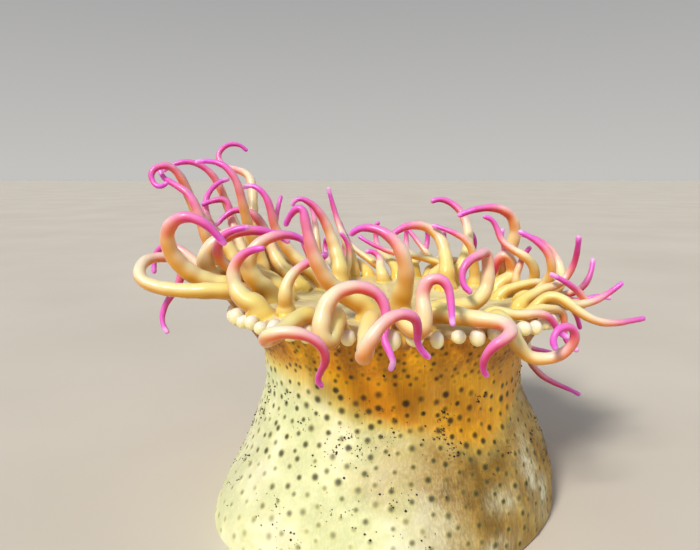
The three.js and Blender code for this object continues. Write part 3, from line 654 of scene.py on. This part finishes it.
def body_object():
    angle = np.arange(ROUND) * 360 / ROUND
    kinds, points = map(np.array, zip(*body_rows(angle)))
    height = points[:, :, 2]
    angles = np.broadcast_to(angle, height.shape)
    rise, spot, wart_highlight = add_warts(kinds, points)
    is_foot = kinds == "foot"
    is_side = (kinds == "side")[:, None]
    is_mouth = (kinds == "mouth")[:, None]
    is_disc = np.isin(kinds, ("disc", "mouth"))[:, None]
    fade = smooth((height - 1.5) / 6)
    rise = rise + np.where(is_side, folds(angles, height) * fade, 0)
    ray = np.cos(np.radians(RAYS * angles) + 0.6 * np.sin(np.radians(5 * angles)))
    ring = np.hypot(points[:, :, 0], (points[:, :, 1] - CROWN_SHIFT) / CROWN_SQUASH)
    ray_rise = 0.12 * ray * smooth((ring - 3) / 12) * smooth((52 - ring) / 10)
    rise = rise + np.where(is_disc, ray_rise, 0)
    lips = np.cos(np.radians(LIPS * angles)) * bell(ring - LIP_RING, 3)
    rise = rise + np.where(is_mouth, 0.35 * lips, 0)
    points = points + grid_normals(points) * rise[:, :, None]
    points[:, :, 2] = np.maximum(points[:, :, 2], 0)
    on_floor = np.arange(is_foot.sum())[:, None] < FLAT_ROWS
    points[is_foot, :, 2] = np.where(on_floor, 0, height[is_foot])
    length = np.linalg.norm(np.diff(points, axis=0), axis=2).mean(1)
    length = np.concatenate([[0], np.cumsum(length)])
    under = length[np.flatnonzero(is_foot)[FLAT_ROWS - 1]]
    down = np.where(length < under, UNDER_SHARE * length / under,
                    UNDER_SHARE + (length - under) / SHEET)
    down *= BODY_SHARE / down[-1]
    mouth_stain = 0.5 * bell(ring - LIP_RING, 6)
    ray_stain = (0.5 + 0.5 * ray) * (0.6 + 0.4 * waves(2 * angles, 3 * ring))
    fields = {
        "spot": spot,
        "wart_highlight": wart_highlight,
        "amber": amber_field(angles, height),
        "tan": tan_field(angles, height),
        "umber": np.where(is_disc, mouth_stain, umber_field(angles, height)),
        "chalk": chalk_field(angles, height),
        "ray": np.where(is_disc, ray_stain, 0),
    }
    slots = np.where(np.isin(kinds, ("crown", "disc", "mouth")), DISC, COLUMN)
    sheet = laid_out((0, 0, 1, 1), ROUND, down)
    body = grid_object("skin", points, sheet, fields, slots, (0, 0, 0), points[-1].mean(0))
    return body, kinds, points


def waves(angle, height):
    """A slow pattern, between -1 and 1, that repeats all round."""
    a = np.radians(angle)
    parts = (np.sin(3 * a + 0.09 * height), np.sin(5 * a - 0.13 * height + 1.3),
             np.sin(8 * a + 0.2 * height))
    return sum(parts) / 3


# Places where the amber reaches lower, as (depth, direction, half-width in degrees).
AMBER_DIPS = ((9, 262, 28), (20, 305, 30), (8, 90, 60))


def amber_field(angle, height):
    """Amber runs down from the collar, deepest right of the middle in front."""
    reach = COLLAR_FOOT - sum(deep * bump(angle, middle, wide) for deep, middle, wide in AMBER_DIPS)
    reach = reach + 2.5 * waves(angle, height)
    slow = bump(angle, 224, 28)
    return smooth((height - reach + 5 + 5 * slow) / (11 + 15 * slow))


def tan_field(angle, height):
    """The right side is tan where the left is cream."""
    right = np.maximum(smooth((angle - 266) / 24), bump(angle, 0, 60))
    edge = np.maximum(right, 0.4 * bump(angle, 130, 30))
    middle = 0.5 * bump(angle, 272, 17) * smooth((54 - height) / 14) * smooth((height - 18) / 12)
    patchy = edge + middle + 0.15 * waves(2 * angle, 2 * height)
    return np.clip(patchy, 0, 1) * smooth((72 - height) / 10)


def umber_field(angle, height):
    """Dark brown under the beads, strongest at the two sides."""
    side = 0.35 + 0.6 * bump(angle, 335, 38) + 0.5 * bump(angle, 205, 26)
    patchy = side + 0.25 * waves(3 * angle, 3 * height)
    return np.clip(patchy, 0, 1) * smooth((height - 58) / 7)


# Each patch as its direction and height, half-width in degrees, half-height and strength.
CHALK = ((321, 25, 5, 9, 0.85), (327, 13, 4, 8, 0.8), (304, 20, 7, 4, 0.5),
         (279, 16, 9, 16, 0.45), (298, 7, 8, 4, 0.5), (200, 22, 30, 16, 0.5),
         (60, 18, 14, 10, 0.7), (120, 24, 12, 12, 0.6))


def chalk_field(angle, height):
    """Greyish white patches low on the right, and a milky stretch low in front."""
    chalk = np.zeros(height.shape)
    for middle, level, wide, tall, strength in CHALK:
        patch = bump(angle, middle, wide) * bell(height - level, tall)
        chalk = np.maximum(chalk, strength * patch)
    return np.clip(chalk * (1 + 0.5 * waves(6 * angle, 4 * height)), 0, 1)


# ---- tentacles


def fine_line(line, radii):
    """The centre line and radii at even steps along a smooth curve through the steps."""
    ahead = np.concatenate([2 * line[:1] - line[1:2], line, 2 * line[-1:] - line[-2:-1]])
    length = np.linalg.norm(np.diff(line, axis=0), axis=1).sum()
    place = np.linspace(0, len(line) - 1, max(24, round(length / TUBE_STEP)))
    leg = np.minimum(place.astype(int), len(line) - 2)
    t = (place - leg)[:, None]
    p0, p1, p2, p3 = (ahead[leg + k] for k in range(4))
    curve = 0.5 * (2 * p1 + (p2 - p0) * t + (2 * p0 - 5 * p1 + 4 * p2 - p3) * t ** 2
                   + (3 * p1 - p0 - 3 * p2 + p3) * t ** 3)
    return curve, np.interp(place, np.arange(len(line)), radii)


def tube_frames(curve):
    """The way along the curve at each step, and two ways across that don't spin round it."""
    tangent = np.gradient(curve, axis=0)
    tangent /= np.linalg.norm(tangent, axis=1)[:, None]
    side = np.array([1.0, 0, 0])
    sides = []
    for direction in tangent:
        side = side - direction * side.dot(direction)
        side /= np.linalg.norm(side)
        sides.append(side)
    sides = np.array(sides)
    return tangent, sides, np.cross(tangent, sides)


def full_turn(count):
    return np.arange(count) * 2 * np.pi / count


def tentacle_object(index, tentacle, place):
    """A tube that flares into the disc at its root and ends in a small round knob."""
    root, _, line, radii = tentacle
    curve, radius = fine_line(line, radii)
    tangent, side, up = tube_frames(curve)
    run = np.concatenate([[0], np.cumsum(np.linalg.norm(np.diff(curve, axis=0), axis=1))])
    out = np.maximum(run - ROOT_DEPTH, 0)
    flare = 1 + 0.42 * bell(out, 2.6)
    flare = flare + (0.05 * radii[0] - 0.02) * bell(out, 11)
    uneven = 1 + 0.03 * np.sin(run * 0.9 + index) + 0.02 * np.sin(run * 0.37 + 2 * index)
    knob = 1 + 0.14 * bell(run[-1] - run - 0.9, 1.5)
    radius = radius * flare * uneven * knob
    cap = np.radians(np.linspace(0, 78, 6)[1:])
    end = radius[-1]
    rise = end * np.sin(cap)
    rings = np.concatenate([radius, end * np.cos(cap)])
    middles = np.concatenate([curve, curve[-1] + tangent[-1] * rise[:, None]])
    side, up = (np.concatenate([way, np.repeat(way[-1:], len(cap), 0)]) for way in (side, up))
    c, s = (wave(full_turn(TUBE_SIDES))[None, :, None] for wave in (np.cos, np.sin))
    points = middles[:, None] + (c * side[:, None] + s * up[:, None]) * rings[:, None, None]
    along = np.concatenate([run, run[-1] + rise]) / run[-1]
    fields = {
        "along": along[:, None],
        # how red the painted shade on the under side is
        "shade_blush": SHADE_BLUSH.get(root, 0.0),
        "tone": 0.5 + 0.5 * math.sin(3.7 * index),
    }
    sheet = laid_out(place, TUBE_SIDES, along / along[-1])
    tip = middles[-1] + tangent[-1] * end * (1 - math.sin(cap[-1]))
    kinds = np.full(len(points), TENTACLE)
    return grid_object(f"tentacle_{root}", points, sheet, fields, kinds, curve[0], tip)


# Tentacles whose painted shade, on the under side of the outer half, is coral red rather than pink,
# and how much so.
SHADE_BLUSH = {"A32": 1, "A33": 1, "B18": 1, "D9": 1, "C8": 1, "A36": 0.8, "B1": 0.8, "D8": 0.8,
         "C5": 0.8, "B10": 0.8, "B3": 0.7, "A5": 0.6, "A35": 0.6, "C4": 0.6, "A1": 0.6, "A2": 0.6,
         "B22": 0.6, "C9": 0.5, "B0": 0.5}


def bead_object(index, place):
    """A slightly uneven ball on the collar's margin."""
    angle = (index + 0.5) * 360 / BEAD_COUNT
    size = BEAD_RADIUS * (1 + 0.13 * math.sin(5.1 * index))
    polar = np.radians(np.linspace(12, 168, BEAD_ROWS))[:, None]
    turn = full_turn(BEAD_SIDES)
    shape = np.stack(np.broadcast_arrays(np.sin(polar) * np.cos(turn), np.sin(polar) * np.sin(turn),
                                         -np.cos(polar)), -1)
    stretch = np.array([1.15, 1 + 0.1 * math.sin(2.3 * index), 1.12 + 0.1 * math.sin(3.1 * index)])
    c, s = cos_sin(angle)
    turned = shape * size * stretch @ np.array([[c, s, 0], [-s, c, 0], [0, 0, 1]])
    ring = BEAD_RING + 0.3 * math.sin(4.3 * index)
    height = bead_height(angle) + 0.4 * math.sin(2.9 * index)
    points = crown_point(np.array(angle), ring, height) + turned
    sheet = laid_out(place, BEAD_SIDES, np.linspace(0, 1, BEAD_ROWS))
    fields = {"tone": 0.5 + 0.5 * math.sin(1.9 * index)}
    low, high = points[0].mean(0), points[-1].mean(0)
    return grid_object(f"bead_{index}", points, sheet, fields, np.full(BEAD_ROWS, BEAD), low, high)


# ---- laying out the texture

SHEET_GAP = 0.003
STRIP_SCALE = 0.9  # strips are laid out a little smaller than the body
BEAD_STRIP = (13, 7)  # width and height of a bead's strip, in millimetres


def sheet_places(tentacles):
    """Strips in shelves above the body's band: the tentacles, longest first, then the beads."""
    scale = STRIP_SCALE / SHEET
    order = sorted(range(len(tentacles)), key=lambda i: -tentacles[i][1])
    sizes = [(2 * math.pi * tentacles[i][3].mean(), tentacles[i][1]) for i in order]
    sizes += [BEAD_STRIP] * BEAD_COUNT
    strips = []
    x, y, shelf = SHEET_GAP, BODY_SHARE + SHEET_GAP, sizes[0][1] * scale
    for wide, tall in np.array(sizes) * scale:
        if x + wide > 1 - SHEET_GAP:
            x, y, shelf = SHEET_GAP, y + shelf + SHEET_GAP, tall
        strips.append((x, y, wide, tall))
        x += wide + SHEET_GAP
    return dict(zip(order, strips)), strips[len(order):]


# ---- joining into one skin


def joined_skin():
    """The body, the tentacles and the beads made into one closed mesh."""
    body, kinds, points = body_object()
    scene = bpy.context.scene
    scene.collection.objects.link(body)
    growths = bpy.data.collections.new("growths")
    scene.collection.children.link(growths)
    tentacles = settle(grow_tentacles())
    places, bead_places = sheet_places(tentacles)
    for i, tentacle in enumerate(tentacles):
        growths.objects.link(tentacle_object(i, tentacle, places[i]))
    for i in range(BEAD_COUNT):
        growths.objects.link(bead_object(i, bead_places[i]))
    union = body.modifiers.new("union", "BOOLEAN")
    union.operation = "UNION"
    union.operand_type = "COLLECTION"
    union.collection = growths
    union.solver = "MANIFOLD"
    graph = bpy.context.evaluated_depsgraph_get()
    mesh = bpy.data.meshes.new_from_object(body.evaluated_get(graph))
    body.modifiers.clear()
    body.data = mesh
    for growth in list(growths.objects):
        bpy.data.objects.remove(growth)
    bpy.data.collections.remove(growths)
    mesh.polygons.foreach_set("use_smooth", np.ones(len(mesh.polygons), bool))
    return body, kinds, points


# ---- sand grains on the column

# Clusters of grains in front as (direction, height, spread, count). The last is a loose one.
GRAIN_CLUSTERS = ((251, 41, 4, 20), (246, 37, 4, 18), (256, 38, 4, 18), (265, 42, 4, 16),
                  (286, 47, 3, 18), (284, 43, 3, 28), (288, 38, 4, 28), (231, 41, 4, 12),
                  (219, 48, 4, 10), (268, 27, 5, 12), (250, 22, 6, 12), (229, 18, 5, 16),
                  (240, 12, 5, 14), (276, 14, 6, 12), (302, 52, 3, 10), (312, 34, 4, 12),
                  (262, 52, 5, 8), (300, 28, 5, 8), (260, 36, 30, 70))
GRAIN_ROUND = 40  # clusters round the rest of the column
GRAIN_SHAPE = np.array([(1, 0, 0), (-1, 0, 0), (0, 1, 0), (0, -1, 0), (0, 0, 1), (0, 0, -1),
                        (0.6, 0.6, 0.6), (-0.6, 0.6, -0.6), (0.6, -0.6, -0.6), (-0.6, -0.6, 0.6)])


def grain_places(kinds, points):
    """The row and column of the body's grid where each grain sits."""
    rows = np.flatnonzero(np.isin(kinds, ("side", "flare")))
    heights = points[rows].mean(1)[:, 2]
    clusters = list(GRAIN_CLUSTERS)
    for _ in range(GRAIN_ROUND):
        angle, height = 330 + 250 * rng.random(), 6 + 48 * rng.random()
        clusters.append((angle, height, 3 + 4 * rng.random(), 9))
    places = []
    for angle, height, spread, count in clusters:
        for _ in range(count):
            around = angle + rng.normal() * spread * 0.55
            up = height + rng.normal() * spread * 0.4
            row = rows[np.abs(heights - up).argmin()]
            places.append((row, round(around / 360 * ROUND) % ROUND))
    return places


def grains_object(kinds, points):
    normals = grid_normals(points)
    verts, faces = [], []
    for row, col in grain_places(kinds, points):
        size = 0.16 + 0.28 * rng.random() ** 3
        shape = GRAIN_SHAPE * size * rng.uniform(0.65, 1.35, GRAIN_SHAPE.shape)
        centre = points[row, col] + normals[row, col] * size * 0.5
        base = len(verts)
        verts += list((centre + shape) * MM)
        faces += [(base + a, base + b, base + c) for a, b, c in GRAIN_FACES]
    return placed("sand_grains", new_mesh("sand_grains", verts, faces, [grain_material()]))


def hull_faces(corners):
    """Triangles of the convex hull of a few corners, facing out."""
    faces = []
    for a, b, c in itertools.combinations(range(len(corners)), 3):
        normal = np.cross(corners[b] - corners[a], corners[c] - corners[a])
        side = (corners - corners[a]) @ normal
        if (side <= 1e-9).all():
            faces.append((a, b, c))
        elif (side >= -1e-9).all():
            faces.append((a, c, b))
    return faces


GRAIN_FACES = hull_faces(GRAIN_SHAPE)

# ---- materials

GLOW_DEPTH = 0.0016  # how far light sinks into flesh, in metres


def rgb(code):
    """A colour written as on a screen, in the linear light that shaders use."""
    parts = [int(code[i:i + 2], 16) / 255 for i in (0, 2, 4)]
    return tuple(p / 12.92 if p <= 0.04045 else ((p + 0.055) / 1.055) ** 2.4 for p in parts) + (1,)


class Shader:
    """Short names for the nodes that the materials and the sky share."""

    def __init__(self, name, blocks=bpy.data.materials, surface="Principled BSDF"):
        self.block = blocks.new(name)
        self.block.use_nodes = True
        self.tree = self.block.node_tree
        self.surface = self.tree.nodes[surface]
        self.coords = self.add("TexCoord").outputs

    def add(self, kind, inputs=None, **settings):
        node = self.tree.nodes.new("ShaderNode" + kind)
        for key, value in settings.items():
            setattr(node, key, value)
        self.fill(node, inputs or {})
        return node

    def fill(self, node, inputs):
        """Gives each input, called by its name or number, a link, a number or a colour code."""
        for key, value in inputs.items():
            if isinstance(value, bpy.types.NodeSocket):
                self.tree.links.new(value, node.inputs[key])
            else:
                node.inputs[key].default_value = rgb(value) if isinstance(value, str) else value

    def value(self, name):
        return self.add("Attribute", attribute_name=name).outputs["Fac"]

    def math(self, operation, a, b):
        return self.add("Math", {0: a, 1: b}, operation=operation).outputs[0]

    def times(self, a, b):
        return self.math("MULTIPLY", a, b)

    def ease(self, value, low, high, out_low=0.0, out_high=1.0):
        """A smooth step from out_low to out_high as the value goes from low to high."""
        inputs = dict(enumerate((value, low, high, out_low, out_high)))
        return self.add("MapRange", inputs, interpolation_type="SMOOTHSTEP").outputs[0]

    def blend(self, fac, a, b, kind="MIX"):
        """Colour a with colour b laid over it. The node's colours are its inputs 6 and 7."""
        inputs = {0: fac, 6: a, 7: b}
        return self.add("Mix", inputs, data_type="RGBA", blend_type=kind).outputs[2]

    def ramp(self, fac, *stops):
        """A colour for each value, from stops of a place and a colour code."""
        node = self.add("ValToRGB", {0: fac})
        band = node.color_ramp.elements
        for element, (at, code) in zip(band, (stops[0], stops[-1])):
            element.position, element.color = at, rgb(code)
        for at, code in stops[1:-1]:
            band.new(at).color = rgb(code)
        return node.outputs[0]

    def noise(self, scale, detail=2.0, rough=0.5, stretch=None):
        place = self.coords["Object"]
        if stretch:
            place = self.add("Mapping", {"Vector": place, "Scale": stretch}).outputs[0]
        inputs = {"Vector": place, "Scale": scale, "Detail": detail, "Roughness": rough}
        return self.add("TexNoise", inputs).outputs["Fac"]

    def height_of(self, way):
        return self.add("SeparateXYZ", {0: way}).outputs["Z"]

    def painted_light_share(self):
        """1 where the skin faces up, 0 where it faces down: how much painted light, against painted
        shade, a colour takes.
        """
        return self.ease(self.height_of(self.add("NewGeometry").outputs["Normal"]), -0.5, 0.7)

    def bumped(self, height, distance, strength):
        node = self.add("Bump", {"Strength": strength, "Distance": distance, "Height": height})
        self.fill(self.surface, {"Normal": node.outputs[0]})

    def plain(self, colour, rough):
        self.fill(self.surface, {"Base Color": colour, "Roughness": rough})
        return self.block

    def flesh(self, colour, rough, glow, sheen=0.0, shine=0.3):
        """Soft flesh that light sinks into."""
        self.fill(self.surface, {
            "Subsurface Weight": glow, "Subsurface Radius": (1.0, 0.65, 0.4),
            "Subsurface Scale": GLOW_DEPTH, "Specular IOR Level": shine,
            "Sheen Weight": sheen, "Sheen Roughness": 0.4, "Sheen Tint": "FFE6FF",
        })
        return self.plain(colour, rough)


def column_material():
    """Cream, tan and amber skin with dark warts, a brown top and pale upright streaks."""
    s = Shader("column_flesh")
    blotch = s.noise(55, 4, 0.6)
    streak = s.noise(1, 3, 0.6, stretch=(1500, 1500, 130))
    pale = s.ramp(s.ease(blotch, 0.35, 0.65), (0, "D8E0AC"), (0.5, "EAEFBC"), (1, "F5F9D6"))
    cloud = s.ease(s.noise(60, 5, 0.6), 0.32, 0.68)
    tan = s.ramp(cloud, (0, "785C20"), (0.45, "A28036"), (1, "BAA05E"))
    cloud = s.ease(s.noise(45, 3, 0.5), 0.3, 0.7)
    amber = s.ramp(cloud, (0, "C47C00"), (0.5, "E09600"), (1, "F4B014"))
    umber = s.ramp(s.ease(s.noise(220, 3, 0.6), 0.35, 0.65), (0, "7A4410"), (1, "B87A20"))
    colour = s.blend(s.ease(s.value("amber"), 0, 0.55, 0, 0.8), pale, "DABF52")
    colour = s.blend(s.ease(s.value("amber"), 0.3, 1), colour, amber)
    in_tan = s.times(s.value("tan"), s.ease(s.value("amber"), 0, 1, 1, 0.35))
    colour = s.blend(in_tan, colour, tan)
    colour = s.blend(s.value("umber"), colour, umber)
    in_chalk = s.times(s.value("chalk"), s.ease(streak, 0.35, 0.6, 0.35, 1))
    colour = s.blend(in_chalk, colour, "DFE3CC")
    colour = s.blend(s.ease(streak, 0.4, 0.72, 0, 0.45), colour, "FFFBE0", "SOFT_LIGHT")
    # painted highlight laid over each wart's dome
    colour = s.blend(s.times(s.value("wart_highlight"), 0.3), colour, "FFF4A0", "SOFT_LIGHT")
    dark = s.blend(s.value("amber"), "55583A", "3E2604")
    colour = s.blend(s.ease(s.value("spot"), 0.05, 0.75, 0, 0.85), colour, dark)
    colour = s.blend(s.ease(s.value("spot"), 0.5, 1, 0, 0.7), colour, "1C1A08")
    s.bumped(s.math("ADD", s.times(streak, 0.5), s.noise(2500, 2)), 0.00012, 0.6)
    return s.flesh(colour, rough=s.ease(blotch, 0.2, 0.8, 0.36, 0.52), glow=0.1)


def tentacle_material():
    """Yellow at the root, then cream, then pink, with lilac tips. Painted light makes the upper
    side paler, and painted shade makes the under side ochre and deep pink, red on some.
    """
    s = Shader("tentacle_flesh")
    cloud = s.noise(160, 3)
    along = s.math("ADD", s.value("along"), s.ease(cloud, 0.2, 0.8, -0.09, -0.01))
    along = s.math("ADD", along, s.times(s.value("tone"), 0.07))
    # the first ramp paints light on the upper side; the two below it paint shade on the under side,
    # the second one coral red for some tentacles
    lit = s.ramp(along, (0, "FCE470"), (0.3, "FEF8B8"), (0.52, "FFF6DA"), (0.65, "FFCED4"),
                 (0.76, "FC94D8"), (0.87, "F676E2"), (0.96, "F480F8"), (1, "FFC8FF"))
    shaded = s.ramp(along, (0, "B47606"), (0.3, "DA9E12"), (0.52, "E6A030"), (0.65, "E6704C"),
                    (0.76, "DC366C"), (0.87, "D4248C"), (0.96, "DC3CC8"), (1, "FA90F8"))
    coral_shade = s.ramp(along, (0, "BC7A0A"), (0.3, "D8981C"), (0.48, "E2822C"), (0.62, "DE462C"),
                   (0.75, "CA1E36"), (0.87, "BE1850"), (0.96, "DA38AC"), (1, "F888F2"))
    shaded = s.blend(s.value("shade_blush"), shaded, coral_shade)
    # painted light on the upper side, painted shade on the under side
    colour = s.blend(s.painted_light_share(), shaded, lit)
    s.bumped(s.noise(1300, 3), 0.0001, 0.4)
    return s.flesh(colour, rough=0.28, glow=0.3, sheen=0.4, shine=0.45)


def bead_material():
    s = Shader("bead_flesh")
    # painted light on the upper side, painted yellow shade on the under side
    colour = s.blend(s.painted_light_share(), "FFF0AE", "FFFFF4")
    colour = s.blend(s.times(s.value("tone"), 0.25), colour, "FFF4B4")
    s.bumped(s.noise(1500, 2), 0.0001, 0.3)
    return s.flesh(colour, rough=0.3, glow=0.2, sheen=0.1, shine=0.45)


def disc_material():
    s = Shader("disc_flesh")
    colour = s.blend(s.ease(s.noise(120, 3), 0.3, 0.7), "E2DC9C", "F8EDBE")
    ray = s.times(s.math("POWER", s.value("ray"), 3.0), 0.4)
    colour = s.blend(ray, colour, "B09C5C")
    colour = s.blend(s.value("umber"), colour, "BE8452")
    s.bumped(s.noise(1600, 2), 0.0001, 0.4)
    return s.flesh(colour, rough=0.4, glow=0.35)


def grain_material():
    s = Shader("sand_grain")
    colour = s.ramp(s.noise(900, 0), (0.35, "0E0C0C"), (0.55, "2A211C"), (0.7, "6A5A48"))
    return s.plain(colour, 0.55)


def floor_material():
    s = Shader("pale_floor")
    return s.plain(s.ramp(s.noise(6, 3), (0.3, "D9D5CC"), (0.7, "E2DED6")), 0.8)


# ---- floor, light and camera

FLOOR_HALF = 6.0  # half the floor's width in metres
MODEL_MIDDLE = (0, 0, 0.07)
WORLD_STRENGTH = 0.68
CAMERA_PLACE = (-0.0165, -0.233, 0.127)
CAMERA_PITCH = 10  # degrees below level
CAMERA_WIDTH = 60.02  # degrees across the frame


def add_floor():
    corners = [(x * FLOOR_HALF, y * FLOOR_HALF, 0) for x, y in ((-1, -1), (1, -1), (1, 1), (-1, 1))]
    floor = placed("floor", new_mesh("floor", corners, [(0, 1, 2, 3)], [floor_material()]))
    floor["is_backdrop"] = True


def aim(thing, target):
    x, y, z = np.array(target) - np.array(thing.location)
    thing.rotation_euler = (math.atan2(math.hypot(x, y), -z), 0, math.atan2(-x, y))


def add_light(name, kind, place, strength, colour, spread):
    """spread is a sun's angle in degrees or an area lamp's width in metres."""
    lamp = bpy.data.lights.new(name, kind)
    lamp.energy = strength
    lamp.color = rgb(colour)[:3]
    if kind == "SUN":
        lamp.angle = math.radians(spread)
    else:
        lamp.shape = "DISK"
        lamp.size = spread
    light = placed(name, lamp)
    light.location = place
    aim(light, MODEL_MIDDLE)


def add_studio():
    """A soft key from the front left, a weak fill, and a sky that is paler below."""
    add_light("key", "SUN", (-0.5, -0.72, 0.9), strength=2.65, colour="FFF6E8", spread=12)
    add_light("fill", "AREA", (0.5, -0.6, 0.3), strength=0.4, colour="FFF0DC", spread=0.4)
    sky = Shader("studio", bpy.data.worlds, "Background")
    colour = sky.ramp(sky.height_of(sky.coords["Generated"]), (0, "E9E7E3"), (0.5, "A2A4AA"))
    sky.fill(sky.surface, {"Color": colour, "Strength": WORLD_STRENGTH})
    bpy.context.scene.world = sky.block


def add_camera():
    lens = bpy.data.cameras.new("camera")
    lens.sensor_fit = "HORIZONTAL"
    lens.angle = math.radians(CAMERA_WIDTH)
    lens.clip_start = 0.01
    camera = placed("camera", lens)
    camera.location = CAMERA_PLACE
    camera.rotation_euler = (math.radians(90 - CAMERA_PITCH), 0, 0)
    bpy.context.scene.camera = camera


# ---- putting it together

MATERIALS += [column_material(), tentacle_material(), bead_material(), disc_material()]
skin, body_kinds, body_points = joined_skin()
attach(skin, "root")
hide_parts(*frame["nodes"])
grains = grains_object(body_kinds, body_points)
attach(grains, "root")
add_floor()
add_studio()
add_camera()
bpy.context.scene.view_settings.view_transform = "Standard"

corners = {"cad": cad_box, "visual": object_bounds()}
{name: [[float(v) for v in corner] for corner in box] for name, box in corners.items()}
